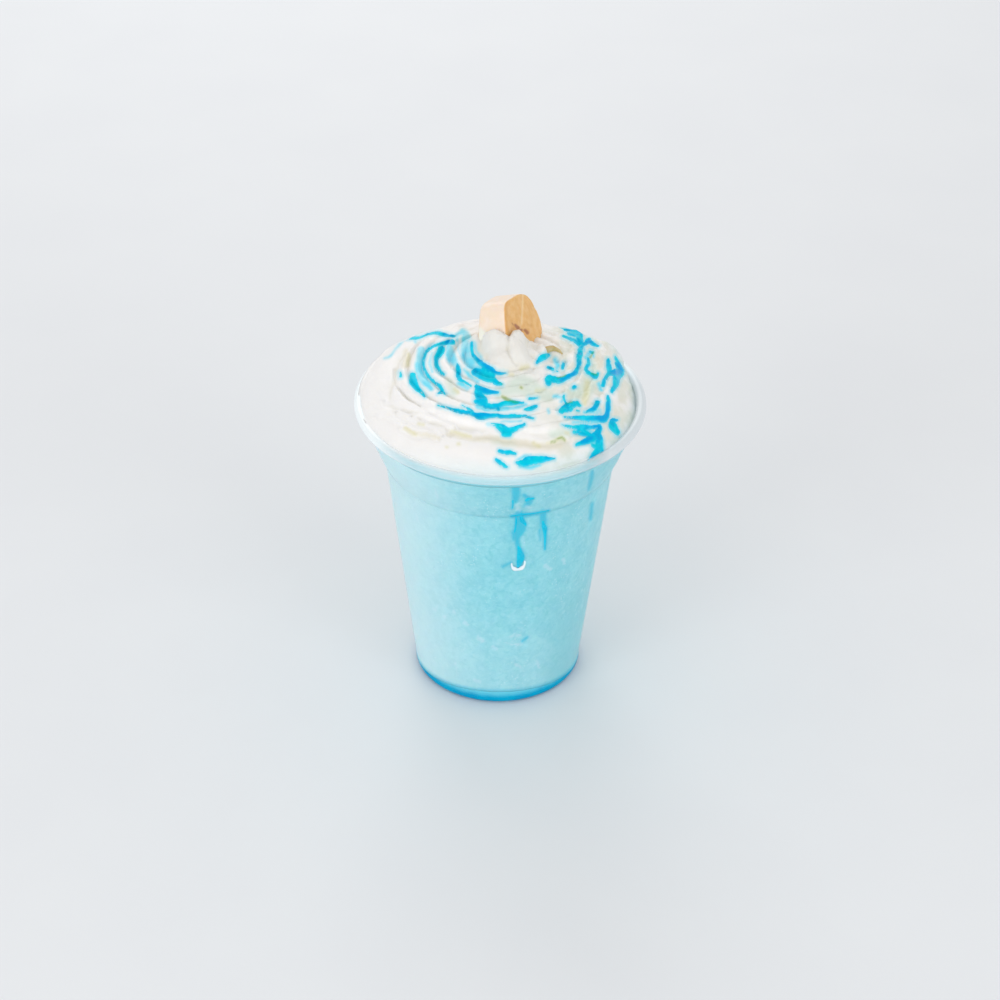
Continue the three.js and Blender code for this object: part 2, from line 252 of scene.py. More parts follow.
class Finish:
    """A material with its principled shader, and short ways to add the nodes that vary it."""

    def __init__(self, name, **settings):
        self.material = bpy.data.materials.new(name)
        self.material.use_nodes = True
        self.tree = self.material.node_tree
        self.shader = self.tree.nodes["Principled BSDF"]
        self.surface = self.tree.nodes["Material Output"].inputs["Surface"]
        self.vary({label.replace("_", " "): value for label, value in settings.items()})

    def vary(self, inputs, node=None):
        """Sets or links sockets, of the principled shader unless another node is given."""
        sockets = (node or self.shader).inputs
        for key, value in inputs.items():
            if isinstance(value, Number):
                self.tree.links.new(value.socket, sockets[key])
            else:
                sockets[key].default_value = value

    def node(self, kind, settings=None, inputs=None, output=0):
        """Adds a node with its settings and inputs, and gives one of its outputs."""
        node = self.tree.nodes.new(kind)
        for key, value in (settings or {}).items():
            setattr(node, key, value)
        self.vary(inputs or {}, node)
        return Number(self, node.outputs[output])

    def value(self, label):
        """A named value of the mesh's points."""
        return self.node("ShaderNodeAttribute", {"attribute_name": label}, output="Fac")

    def place(self, stretch=(1, 1, 1)):
        """Object coordinates in millimetres, stretched along the axes by a Mapping node."""
        where = self.node("ShaderNodeTexCoord", output="Object")
        scale = tuple(s / MM for s in stretch)
        return self.node("ShaderNodeMapping", None, {"Vector": where, "Scale": scale})

    def noise(self, size, detail=2.0, roughness=0.5, distortion=0.0, stretch=(1, 1, 1)):
        """Noise from 0 to 1 with lumps of about the given size in millimetres."""
        inputs = {"Vector": self.place(stretch), "Scale": 1 / size, "Detail": detail,
                  "Roughness": roughness, "Distortion": distortion}
        return self.node("ShaderNodeTexNoise", None, inputs)

    def along(self, axis):
        """One of the Object coordinates in millimetres: X is to the right, Y to the back, Z upward."""
        return self.node("ShaderNodeSeparateXYZ", None, {"Vector": self.place()}, axis)

    def grains(self, spacing):
        """Distance from the nearest of scattered points, in units of their spacing."""
        return self.node("ShaderNodeTexVoronoi", None, {"Vector": self.place(), "Scale": 1 / spacing})

    def mix(self, factor, first, second):
        """A colour between two colours. Each is a socket, or red, green and blue as read on a screen."""
        first, second = [shade if isinstance(shade, Number) else paint(*shade) for shade in (first, second)]
        return self.node("ShaderNodeMix", {"data_type": "RGBA"}, {0: factor, 6: first, 7: second}, 2)

    def coats(self, colour, *coats):
        """Colours laid one over another. Each coat is how much of it covers, and its colour."""
        for cover, shade in coats:
            colour = self.mix(cover, colour, shade)
        return colour

    def relief(self, height, depth):
        """Links a Bump node to the shader: a height from 0 to 1 stands for a depth in millimetres."""
        bumpy = self.node("ShaderNodeBump", None, {"Height": height, "Strength": 1.0, "Distance": depth * MM})
        self.vary({"Normal": bumpy})


def paint(red, green, blue):
    """A colour as read on a screen, 0 to 255, as the linear numbers that a shader takes."""
    channel = np.array([red, green, blue]) / 255
    linear = np.where(channel <= 0.04045, channel / 12.92, ((channel + 0.055) / 1.055) ** 2.4)
    return (*linear.tolist(), 1.0)


def give(piece, finish, slot, *nodes):
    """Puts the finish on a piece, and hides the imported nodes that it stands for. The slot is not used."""
    piece.data.materials.append(finish.material)
    if nodes:
        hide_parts(*nodes)
    print(piece.name, "has the finish", finish.material.name)


# %% [markdown]
# The cup
# The real cup is pressed from thin clear plastic: a straight tapered wall, a stacking ledge, a flare and
# a rolled rim. A turned profile gives it in one piece. The foot is a ring round a raised floor, and the
# flare carries the faint ribs that pressing leaves. The mesh is made near the end of the lesson, because
# it also keeps where syrup wets the wall.

# %% Cup profile
WALL = 0.6
ROLL = 3.4
FOOT_OUTER, FOOT_INNER, FOOT_RECESS, HEEL = 30.4, 26.6, 1.4, 2.4
WALL_BASE, TAPER = 32.2, 0.12
NECK, LEDGE = 98.0, 0.6
FLARE_TOP_RADIUS, FLARE_BOW = 51.8, 0.3
RIB_DEPTH, RIB_PITCH = 0.012, 4.1
FLARE_TOP = RIM_HEIGHT - ROLL
FLOOR_CENTRE = 12
CUP_SECTORS = 192


def wall_radius(height):
    """Outside of the wall: straight with a taper below the neck; above it a flare that bows outward
    by a quadratic, with shallow ribs."""
    run = np.clip((height - NECK) / (FLARE_TOP - NECK), 0, 1)
    start = WALL_BASE + TAPER * NECK + LEDGE
    flare = start + (FLARE_TOP_RADIUS - start) * ((1 + FLARE_BOW) * run - FLARE_BOW * run * run)
    ribs = RIB_DEPTH * np.sin(2 * np.pi * height / RIB_PITCH) * np.sin(np.pi * run)
    return np.where(height < NECK, WALL_BASE + TAPER * height, flare + ribs)


def arc(centre, radius, start, end, steps):
    """Points on an arc as (radius, height), from one angle to another in degrees."""
    angle = np.radians(np.linspace(start, end, steps))
    return np.stack([centre[0] + radius * np.cos(angle), centre[1] + radius * np.sin(angle)], -1)


def side(inward, top):
    """One side of the cup as (radius, height), moved inward: the rounded heel, the straight wall, the
    ledge and the flare."""
    heel = arc((FOOT_OUTER, HEEL), HEEL - inward, -90, -math.degrees(math.atan(TAPER)), 12)
    height = np.concatenate([np.linspace(2 * HEEL, NECK - LEDGE, 14), np.linspace(NECK, top, 60)])
    return np.vstack([heel, np.stack([wall_radius(height) - inward, height], -1)])


# %% Line of the profile
roll = ROLL / 2
cup_profile = np.vstack([
    [[FLOOR_CENTRE, FOOT_RECESS], [FOOT_INNER - FOOT_RECESS, FOOT_RECESS], [FOOT_INNER, 0]],
    side(0, FLARE_TOP),
    arc((RIM_RADIUS - roll, RIM_HEIGHT - roll), roll, -90, 90, 17),
    arc((FLARE_TOP_RADIUS - WALL + roll, RIM_HEIGHT - roll), roll, 90, 180, 9),
    side(WALL, FLARE_TOP)[::-1],
    [[FOOT_INNER, WALL], [FOOT_INNER - FOOT_RECESS, FOOT_RECESS + WALL],
     [FLOOR_CENTRE, FOOT_RECESS + WALL]],
])
print("profile of the cup", len(cup_profile), "points")

# %% [markdown]
# Strokes
# Syrup was squeezed over the cream in lines and drops. Each is written here as a stroke: places in the
# photograph with a half width in pixels, joined by a smooth curve. A point of the surface is inside a
# stroke if its place in the photograph is. The edges are bent by noise, so they run as a liquid does.

# %% Stroke helpers
CURVE_STEPS = 4
STROKE_REACH = 14.0
FAR_OUTSIDE = -99.0
FILM_REACH = 1.2
GREEN_REACH, GREEN_FADE = 1.2, 2.4


def flowing(stroke):
    """A smooth curve through the places of a stroke: between two of them a cubic of t, whose slope at
    each place is half the way from the place before to the place after."""
    points = np.array(stroke, float)
    ends = np.vstack([2 * points[0] - points[1], points, 2 * points[-1] - points[-2]])
    a, b, c, d = ends[:-3, None], ends[1:-2, None], ends[2:-1, None], ends[3:, None]
    t = np.arange(CURVE_STEPS)[:, None] / CURVE_STEPS
    curve = b + (c - a) * t / 2 + (2 * a - 5 * b + 4 * c - d) * t**2 / 2 + (3 * b - a - 3 * c + d) * t**3 / 2
    return np.vstack([curve.reshape(-1, points.shape[1]), points[-1:]])


def inside_strokes(pixels, strokes):
    """How deep each place lies inside the strokes: for every stretch of a stroke's curve, its half
    width there minus the distance to it, and the largest of these. It is negative outside. Places
    out of a stroke's reach are left out, to save time."""
    deepest = np.full(pixels.shape[:-1], FAR_OUTSIDE)
    for stroke in strokes:
        points = flowing(stroke)
        low, high = points[:, :2].min(0) - STROKE_REACH, points[:, :2].max(0) + STROKE_REACH
        near = ((pixels > low) & (pixels < high)).all(-1)
        close, depth = pixels[near], deepest[near]
        for start, end in zip(points[:-1], points[1:]):
            line = end[:2] - start[:2]
            along = np.clip((close - start[:2]) @ line / (line @ line), 0, 1)
            away = np.linalg.norm(close - start[:2] - along[..., None] * line, axis=-1)
            depth = np.maximum(depth, start[2] + (end[2] - start[2]) * along - away)
        deepest[near] = depth
    return deepest


def soft_inside(pixels, strokes, reach, fade):
    """How much each place belongs to the strokes, from 0 to 1: a smooth step that starts a reach outside
    them and takes a fade, both in pixels."""
    return smooth_step((inside_strokes(pixels, strokes) + reach) / fade)


def unsteady(pixels, amount):
    """Places moved by noise of two sizes, so that a straight stroke gets an uneven edge."""
    x, y = pixels[..., 0], pixels[..., 1]
    wide = np.stack([lumps(x, y, WIDE_SIZE, 21), lumps(x, y, WIDE_SIZE, 22)], -1)
    fine = np.stack([lumps(x, y, FINE_SIZE, 23), lumps(x, y, FINE_SIZE, 24)], -1)
    return pixels + amount * (WIDE_SHARE * wide + FINE_SHARE * fine)


def film_piece(name, grid, depth, values, thickness):
    """A sheet of syrup: the cells of a grid of points that lie inside the strokes or just outside them,
    closed by a Solidify modifier that thickens the sheet into what it lies on."""
    rows, columns = grid.shape[:2]
    quads = grid_faces(rows, columns, wrap=False)
    quads = quads[(depth.ravel()[quads] > -FILM_REACH).any(1)]
    used, faces = np.unique(quads, return_inverse=True)
    kept = {label: numbers.ravel()[used] for label, numbers in values.items()}
    piece = add_piece(name, grid.reshape(-1, 3)[used], faces.reshape(-1, 4).tolist(), kept)
    solid = piece.modifiers.new("thickness", "SOLIDIFY")
    solid.thickness, solid.offset = thickness * MM, -1
    return piece


# %% [markdown]
# The strokes on the cream
# The strokes were placed one after another. An image on the cream would be quicker, but it would
# blur close up and bring the photograph's light along. The pale stain and the tints, of banana and partly
# of painted shade, have tables of their own, because they only colour the cream and have no thickness.

# %% Strokes on the cream
LEFT_STROKES = [
    [(411.5, 375.5, 3), (412, 381, 3.8), (415, 387, 2.8), (418.6, 391.4, 2), (423, 396.5, 1)],
    [(450.5, 342, 2.6), (444, 343, 2.2), (434, 345.7, 1.2), (427, 349.3, 1.2), (423.6, 355, 1),
     (422, 365, 1.2), (425.7, 374.3, 1.2), (431.4, 380.7, 1.2), (437, 384.3, 1.4), (440.7, 389.3, 1.7),
     (443.6, 393.8, 0.8)],
    [(437, 393.4, 0.8), (441, 392, 1.6)],
    [(439.5, 349.5, 3.4), (438, 353.6, 3.6), (435, 358, 2.3), (435, 365, 1.8), (438, 370.7, 1.7),
     (442, 374.5, 1.4)],
    [(455.5, 364, 0.8), (457, 369.5, 2.5), (457, 375, 2), (459.3, 380, 1.8), (463, 382.2, 1.2),
     (469.3, 386.6, 0.6)],
    [(470.5, 343, 1.2), (470.6, 352.7, 1.6), (476, 360.2, 2.2), (482.6, 366.2, 2.9), (489.2, 370.6, 3.6),
     (497, 372.7, 1.8), (504.6, 372.9, 0.7)],
    [(474.4, 372.2, 4.2), (480, 375, 5), (486, 377.4, 4.4), (491.5, 379.8, 3.2),
     (495.4, 383, 2.6), (500, 384.4, 1.6)],
    [(483, 370.5, 4), (489, 375, 5)],
    [(408.6, 338, 0.7), (414.3, 338.4, 1.1), (423, 335, 0.9), (434, 333, 1.5), (440.7, 334.4, 2),
     (446.4, 335.8, 1.5), (453.6, 336.9, 1.3)],
    [(398.4, 373.5, 1), (398.8, 376.5, 1.2)],
]
MIDDLE_STROKES = [
    [(475.4, 387.6, 2.4), (483, 391, 3.4), (496.5, 392.5, 0.9)],
    [(476.5, 390, 3.4), (478, 396, 4.2), (482, 400, 3.4), (485.5, 405.6, 2.6), (494.6, 405.8, 2.6),
     (506, 403, 2.4), (514, 402.6, 1.9), (521.5, 402.6, 1)],
    [(475, 401, 2.2), (484, 404, 2.8)],
    [(496, 406, 2.4), (497.6, 410, 1.4)],
    [(528, 398.2, 1.2), (536, 397.8, 0.6)],
    [(523.8, 409.6, 1.4), (529.2, 408.6, 2.3), (535.4, 406.4, 1.7)],
    [(437, 405.7, 0.5), (448, 408.6, 1.2), (458.6, 411.2, 2), (467.7, 412.9, 1.7), (474, 414.5, 2.4),
     (480, 415.8, 3.5), (490.8, 415.2, 2.1), (503, 416.5, 1.6), (513.8, 416, 1.6), (524.6, 416.7, 1.3),
     (532.5, 418, 0.7)],
    [(461.5, 405.8, 0.5), (466.5, 408.4, 0.9), (472, 411.5, 1.1)],
    [(487.3, 424.2, 0.7), (494, 425, 1.5), (501.2, 425.6, 2), (507, 430, 3.3), (515, 428, 2.4),
     (523, 424.4, 1.3)],
    [(496, 427, 1.4), (501, 430, 2.6), (507, 431.4, 4.2), (513, 429.6, 2.6), (519, 427, 1.4)],
    [(503, 434, 2.2), (509, 434.6, 2.4)],
    [(499, 451, 1.4), (507, 452.4, 2.1), (515, 454, 1.1)],
    [(496, 460, 1.7), (501.2, 463.7, 2), (506.3, 466.7, 1.2)],
    [(517.5, 462.5, 1.8), (523, 463.2, 3.6), (529, 461, 4.2), (542.7, 459.2, 2.8), (553.8, 458.6, 1)],
    [(535.4, 362.8, 1.2), (540, 358.4, 2.8), (545.6, 355, 2.1)],
    [(546.9, 367.3, 1.4), (551, 369, 1.5)],
    [(561.8, 364, 1.5), (561, 368.4, 1.3)],
    [(555.2, 371, 0.6), (556, 371.6, 0.7)],
]
RIGHT_STROKES = [
    [(547.3, 383.4, 2.8), (548.5, 378.8, 3.8), (558, 380.6, 2.8), (567.3, 376.8, 2.4), (573.6, 373.2, 2.3),
     (576.4, 366, 1.8), (577.7, 357, 2.8), (579, 349.5, 2.3), (581, 345, 1.8), (586.4, 341.4, 3),
     (591, 343.4, 2), (596.6, 346, 1.1)],
    [(562.7, 329.9, 1), (570, 331, 1.9), (576.4, 333.6, 3.2), (577.6, 339.4, 3), (580, 345, 2.2)],
    [(561, 335.8, 1), (567.3, 338, 1.5), (573, 341, 1.6), (577.6, 344.6, 1.8)],
    [(566, 333, 1), (572, 335, 1.8)],
    [(589.5, 352, 1.4), (591, 352.6, 1.3)],
    [(586.2, 358.6, 1.1), (586.4, 364, 2), (584.5, 369.5, 2.1), (589.6, 374.6, 2.1), (594.5, 376.8, 2),
     (597, 373.8, 0.9)],
    [(606.3, 359.4, 1.5), (607, 366, 2.4), (608.6, 372, 2.4), (603.8, 379.5, 1.5), (601.8, 385, 2)],
    [(614.3, 356.4, 1.2), (617.2, 364, 3.6), (619.4, 370.5, 4.2), (616, 376, 4), (614.5, 383.2, 2.9),
     (611, 390.5, 2.1)],
    [(608.6, 373, 2.6), (615.5, 372, 3.4)],
    [(572.6, 387.6, 2), (573.4, 387, 1.9)],
    [(562.6, 396, 1.2), (564.2, 402.3, 0.9), (566, 405, 2)],
    [(560.2, 411.3, 2.6), (564.4, 408, 3.5), (570.2, 405.6, 2.9), (575.5, 403.6, 2.5), (579.4, 406, 1)],
    [(565, 411.6, 1.2), (570.6, 409, 1.2)],
    [(586.2, 411.4, 1.4), (593, 408.4, 2.6), (596.2, 402, 2.4)],
    [(575, 410.4, 0.9), (577.4, 411, 0.9)],
    [(563.6, 416.8, 0.7), (576.4, 417.6, 2), (585.5, 418, 2.8), (596.4, 418.6, 3.2), (603, 418.4, 4),
     (606.7, 412.3, 2.7), (606.8, 403.2, 2.4), (606.4, 396, 1.1)],
    [(616, 419.8, 1.6), (611.8, 421.6, 3.3), (612.6, 427, 3.7), (616.6, 433, 2.9)],
    [(561.8, 425, 0.7), (574.5, 426.8, 2), (583.6, 427.2, 2.8), (594.5, 427.2, 2), (598.4, 426, 1.7),
     (597.6, 432.3, 3.4), (591.5, 437.8, 4.4), (583.6, 442.2, 2.8), (575.4, 444.6, 1.1)],
    [(576.2, 432, 1.4), (580, 429.6, 2.6), (587, 433.5, 2.4), (592, 437, 2.4)],
    [(598.2, 437.7, 4), (598, 446, 4.4), (596.6, 451, 3.6), (592.6, 455.4, 2.6), (590, 458.8, 1.6)],
    [(592, 445, 1.4), (596, 448, 2.6)],
    [(573, 432, 1.4), (580, 433.4, 2), (588, 435, 1.6)],
    [(600, 446, 2.6), (602, 450.8, 1.4)],
]
SYRUP_STROKES = LEFT_STROKES + MIDDLE_STROKES + RIGHT_STROKES
DEEP_STROKES = [
    [(476, 359, 0.6), (483, 364.6, 2), (489.6, 369.6, 2.4), (497, 372.7, 1.8), (504, 372.9, 0.8)],
    [(480, 389.6, 1.6), (486, 391.6, 2.2), (496, 392.5, 1)],
    [(444, 342.6, 1), (449, 341.8, 2)],
    [(560, 380.4, 1.4), (567.3, 377.4, 2.2), (573, 374, 2)],
    [(595, 418.6, 1.8), (602, 418.4, 3.2), (606.4, 413, 2.2), (606.8, 404, 1.2)],
    [(592, 426.6, 1.2), (598, 427.6, 2.4)],
    [(587, 411, 1), (593, 408.4, 1.8)],
    [(617, 364, 1.4), (619.4, 371, 2.6), (614.5, 373, 2.6), (610, 373, 1.4)],
    [(584.6, 342.4, 1), (588, 342, 1.8)],
    [(474, 414.4, 1.4), (490, 415.4, 1.2)],
    [(442, 334.6, 1), (452, 336.8, 1.2)],
    [(611, 420, 1.2), (615.8, 419.8, 1.4)],
    [(590, 439, 2), (582, 442.2, 1.4)],
]
PALE_STROKES = [
    [(408, 340.4, 0.8), (416, 337, 1.2), (424, 334.8, 1.4), (431, 333.2, 1.2)],
    [(420, 350, 3.6), (419.3, 363, 5.2), (420, 375, 5), (424.5, 382, 3.8), (430, 388, 2.4)],
    [(447, 346, 3.2), (449.4, 357, 4.8), (455, 365, 2.6)],
    [(430, 353, 1), (428.6, 362, 1.6), (431, 372, 1.2)],
    [(461.6, 335, 1), (463.6, 343, 4.4), (465, 353, 5.8), (470, 363.4, 6.2), (476, 368, 4)],
    [(473, 343, 1), (474.6, 350, 1.6), (479, 357, 1.2)],
    [(463, 369, 1.4), (469, 376, 2.2), (476, 382, 2.2)],
    [(455, 340.4, 1.2), (456.6, 337, 1)],
    [(383, 358.6, 0.8), (388.6, 356.4, 0.8), (397, 345, 0.9), (408.6, 338, 1.4), (414, 342, 0.8)],
    [(568, 334, 3), (577, 342, 4), (582, 350, 2.4)],
    [(553.6, 359.5, 2.2), (556.5, 366, 2.2), (552, 372, 1.6)],
    [(553.6, 396.8, 1.6), (562.7, 396.8, 2), (560, 402, 1.5)],
    [(478, 405, 4), (490, 409, 2.6), (516, 407, 2.2), (524, 404, 2)],
    [(572, 421.6, 1.4), (586, 422.4, 1.8), (600, 422.6, 1.6)],
    [(575, 430, 3), (586, 432, 4), (596, 440, 4.6), (599, 450, 5.4), (592, 458, 3.6)],
    [(519, 466, 1.8), (530, 467.2, 2.2), (540, 464.6, 1.4)],
    [(517, 460, 1.4), (524, 457, 1.8), (531, 456, 1.6)],
    [(500, 421.6, 1), (520, 420.8, 1)],
    [(584, 358, 2.2), (590, 350, 2.2), (592, 356, 1.6)],
    [(583, 412, 2), (598, 411, 2.4)],
    [(459, 383, 3), (466, 388, 2)],
    [(547.6, 409.4, 1.2), (548.4, 412, 1.2)],
    [(455.5, 340, 0.3), (456.5, 350, 0.3), (461, 359, 0.3)],
    [(454, 336, 2.4), (461, 332, 3), (466, 337, 3.6)],
    [(598, 384, 2), (600, 390, 1.4)],
]
# A grey green, partly painted shade: over the middle, the right and the crease at the coil's foot.
MINT_AND_SHADE_STROKES = [
    [(498, 395, 4), (508, 390, 6), (520, 385, 10), (534, 391, 8), (548, 396, 5)],
    [(572, 392, 7), (586, 388, 8), (592, 366, 5)],
    [(553, 434, 4), (566, 433, 3)],
    [(448, 381, 3), (452, 392, 3.6)],
    [(496, 441, 3), (512, 443, 3)],
    [(461, 331, 2), (462, 338, 2)],
]
# Painted shadow, mostly in the crease at the foot of the coil.
TAN_SHADE_STROKES = [
    [(404, 428.5, 1), (412, 433, 2), (424, 434.6, 2.2), (438, 437.6, 2)],
    [(447, 434, 1.4), (460, 436.4, 2.4), (472, 438.6, 2.8), (490, 439.4, 3), (515, 443, 3.4), (540, 446, 3.6),
     (560, 446, 2.6)],
    [(404, 352, 3), (403, 366, 3)],
    [(596, 356, 3), (598, 366, 3)],
]
# A yellow tint, partly painted shade: many strokes follow the shadow lines under the torn ledges.
OLIVE_AND_SHADE_STROKES = [
    [(501.5, 396.5, 1), (507, 400, 2), (512, 402, 1.4)],
    [(592, 374.8, 1.6), (595.5, 373.6, 1.1)],
    [(585.5, 383, 2.2), (584.6, 393, 3), (583, 403, 2.6)],
    [(547, 442.6, 1), (553, 441.6, 1.4), (559, 438.8, 2.2), (564, 439.6, 1.4)],
    [(533, 443, 1.2), (538, 446, 1.6)],
    [(465, 370.5, 0.7), (470, 375.5, 1.2), (476, 380, 0.8)],
    [(454, 389.5, 1.6), (456.6, 392, 1.6)],
    [(508, 374.4, 1.2), (511, 374.8, 1.2)],
    [(519.4, 387.4, 1.3), (520.6, 388.4, 1.3)],
    [(534.5, 390.4, 0.9), (544, 388.6, 0.5)],
    [(446.4, 446.8, 0.7), (447, 446.8, 0.7)],
    [(457.5, 443.9, 1.1), (458.3, 443.9, 1.1)],
    [(574, 433.4, 1), (578, 435.2, 1.2)],
    [(565, 432.6, 0.8), (569, 433, 0.6)],
    [(520, 368.5, 2), (526, 367, 1.8)],
    [(450.6, 431.7, 1.2), (461.7, 434.2, 1.6), (469.4, 436, 1.2)],
    [(404, 428.5, 1), (409.4, 431.7, 1.4), (415, 433.6, 1)],
    [(417, 423.6, 0.8), (423, 424.4, 1)],
    [(407, 355, 1.6), (406.5, 365, 1.6)],
]
GREEN_STROKES = [
    [(500.5, 396.4, 0.8), (505, 399.6, 1.8), (511, 401.6, 1.5), (517, 402.6, 0.8)],
    [(590.5, 374.6, 1), (595, 375.6, 1.2)],
    [(556.5, 378.4, 0.8), (564, 376, 0.9)],
    [(519.5, 387.4, 1), (520.4, 388.4, 0.9)],
    [(550, 442.4, 0.7), (554, 441.4, 0.9)],
    [(556.6, 439, 0.9), (560.6, 438.2, 1.5), (563.6, 439.8, 1.1)],
    [(588, 357.4, 0.9), (592, 352.6, 0.9)],
    [(497, 383.6, 0.5), (501, 384.4, 0.6)],
    [(565, 404.4, 0.7), (571, 402.6, 0.8)],
]
print(len(SYRUP_STROKES), "strokes of syrup and", len(PALE_STROKES), "of pale stain")

# %% [markdown]
# The cream's form
# The cream fills the cup to its rim in a smooth shoulder. On it lies a piped coil, whose ridges come
# from the teeth of a star nozzle and are flatter at the back. In the middle stands a folded peak with
# round lobes. The height above the table is a formula of x and y. Folds and torn ledges are added along
# lines that were read from the photograph. The back can't be read there, so the strokes of syrup end at
# a wavy shore, and strokes given in the plan view take over. A formula takes longer than sculpting, but
# it gives the same cream on every run and in every size.

# %% Height of the cream
SHOULDER, SHOULDER_POWER, EDGE = 8.0, 9, 0.6
EDGE_BUMPS = [(-4.2, -8, 32), (2.6, 42, 19), (2.0, 140, 34)]
COIL_CENTRE = np.array([3.5, 3.0])
COIL_RADIUS, COIL_STEP, COIL_SIDE, COIL_RISE = 43.2, 3.0, 3.5, 5.4
FOOT_BUMPS = [(4.5, 203, 13), (1.2, 222, 16), (-2.6, 258, 18), (1.8, 302, 26), (-2, 90, 50)]
CLIMB_START, CLIMB_RUN = 2.0, 29.0
RIDGE_PITCH, RIDGE_DEPTH, RIDGE_STARTS, RIDGE_SHIFT = 5.3, 1.9, 2, -0.15
CREST_POWER, CREST_MEAN = 2.2, 0.65
WEAK_RIDGES, WEAKEST_AT = 0.4, math.radians(-45)
FLAT_BACK, BACK_START, BACK_RUN = 0.8, 14, 14
PEAK_CENTRE, PEAK_RADIUS, PEAK_HEIGHT, PEAK_STRETCH = np.array([4.0, 3.2]), 11.5, 7.6, 1.12
PEAK_FOLDS, FOLD_DEPTH, FOLD_TWIST, PEAK_POWER = 3, 0.12, 0.2, 2.4


def edge_level(bearing):
    """Height of the cream's edge against the rim: low on the right, where the cream falls short."""
    return EDGE + sum(bump(bearing, *entry) for entry in EDGE_BUMPS)


def shoulder_rise(x, y):
    """The shoulder that fills the cup: edge + (shoulder - edge)(1 - share^9), where share is the radius
    over that of the flare."""
    edge = edge_level(np.arctan2(y, x))
    share = np.minimum(1, np.hypot(x, y) / (FLARE_TOP_RADIUS - WALL))
    return edge + (SHOULDER - edge) * (1 - share**SHOULDER_POWER)


def coil_rise(x, y):
    """The piped coil as two heights. One is its step and its climb towards the middle. The other is its
    ridges: depth (1 - |2f - 1|^2.2 - mean), where f is the fraction of a count that grows by one with
    each pitch outward and by two with each turn."""
    distance = np.hypot(x - COIL_CENTRE[0], y - COIL_CENTRE[1])
    bearing = np.arctan2(y - COIL_CENTRE[1], x - COIL_CENTRE[0])
    inside = COIL_RADIUS + sum(bump(bearing, *entry) for entry in FOOT_BUMPS) - distance
    climb = np.clip((inside - CLIMB_START) / CLIMB_RUN, 0, 1)
    coil = COIL_STEP * smooth_step(inside / COIL_SIDE) + COIL_RISE * climb
    wobble = 0.06 * np.sin(3 * bearing + 0.6) + 0.04 * np.sin(7 * bearing) + bump(bearing, 0.25, 350, 50)
    count = distance / RIDGE_PITCH + RIDGE_STARTS * bearing / (2 * np.pi) + wobble + RIDGE_SHIFT
    crest = 1 - np.abs(2 * (count - np.floor(count)) - 1) ** CREST_POWER
    strong = WEAK_RIDGES + (1 - WEAK_RIDGES) * smooth_step(0.6 - np.cos(bearing - WEAKEST_AT))
    strong = strong * (1 - FLAT_BACK * smooth_step((y - BACK_START) / BACK_RUN))
    strong = RIDGE_DEPTH * strong * smooth_step(inside / 4) * smooth_step((distance - 9) / 5)
    return coil, strong * (crest - CREST_MEAN)


def peak_rise(x, y):
    """The peak: height (1 - (d / r)^2.4), where d is the distance from its middle and its radius r has
    three folds that twist with d."""
    px, py = x - PEAK_CENTRE[0], y - PEAK_CENTRE[1]
    across = np.hypot(px / PEAK_STRETCH, py)
    folds = 1 + FOLD_DEPTH * np.cos(PEAK_FOLDS * (np.arctan2(py, px) + FOLD_TWIST * across))
    return PEAK_HEIGHT * (1 - np.minimum(1, across / (PEAK_RADIUS * folds)) ** PEAK_POWER)


def piped_height(x, y):
    """Height of the piped cream: the rim plus shoulder, coil, ridges and peak, in millimetres."""
    coil, ridges = coil_rise(x, y)
    return RIM_HEIGHT + shoulder_rise(x, y) + coil + ridges + peak_rise(x, y)


# %% [markdown]
# Folds and ledges
# Noise alone makes cream look like stone. What the eye picks out is therefore placed one by one: the folds
# of the peak, ledges where a layer of cream tore, and round lobes. Sculpting would do as well, but a
# table of lines can be read and changed.

# %% Folds, ledges and lobes
# Each fold or ledge is a height in millimetres, a width in pixels, and a line in the photograph. Each
# stroke at the back is in millimetres in the plan view, with a half width. Each lobe is its place in the
# plan view, its height and its two widths, in millimetres.
CREAM_FOLDS = [
    (0.6, 3.4, [(517, 332), (516.4, 343), (519, 352), (525, 361)]),
    (0.5, 1.6, [(529, 343), (534, 344), (539, 346), (544, 350)]),
    (1, 5.4, [(492.6, 347), (494.6, 352)]),
    (-0.6, 2.6, [(482, 343), (482.6, 352), (488, 359.6), (498, 362)]),
    (-1.1, 2.2, [(507, 334), (505.6, 343), (508, 352), (515, 363)]),
    (-0.8, 1.7, [(523.6, 340), (524.4, 347), (530, 355), (536, 359)]),
    (0.6, 1.5, [(527.6, 345), (531, 350), (537, 355)]),
    (0.45, 1.1, [(512.6, 331.4), (513.4, 335)]),
    (0.4, 1.1, [(521.4, 331), (522, 335)]),
    (0.5, 1.6, [(509.4, 337), (511, 344), (514, 352)]),
    (-0.3, 1.5, [(370, 405), (376, 410)]),
    (-0.5, 1.6, [(394, 370), (394, 382), (401, 393), (409, 400), (420, 405)]),
    (0.7, 2, [(576, 392), (574, 400), (568, 409)]),
    (0.6, 2.2, [(590, 385), (588, 396), (582, 406)]),
    (0.7, 1.8, [(601, 396), (601, 408), (594, 414)]),
    (0.8, 2.4, [(600, 342), (608, 346), (613, 352)]),
    (0.7, 1.8, [(613, 376), (608, 384), (606, 390)]),
    (0.7, 2, [(570, 346), (572, 356), (569, 366), (558, 374)]),
    (0.6, 2.2, [(582, 362), (581, 374), (576, 384), (566, 390)]),
]
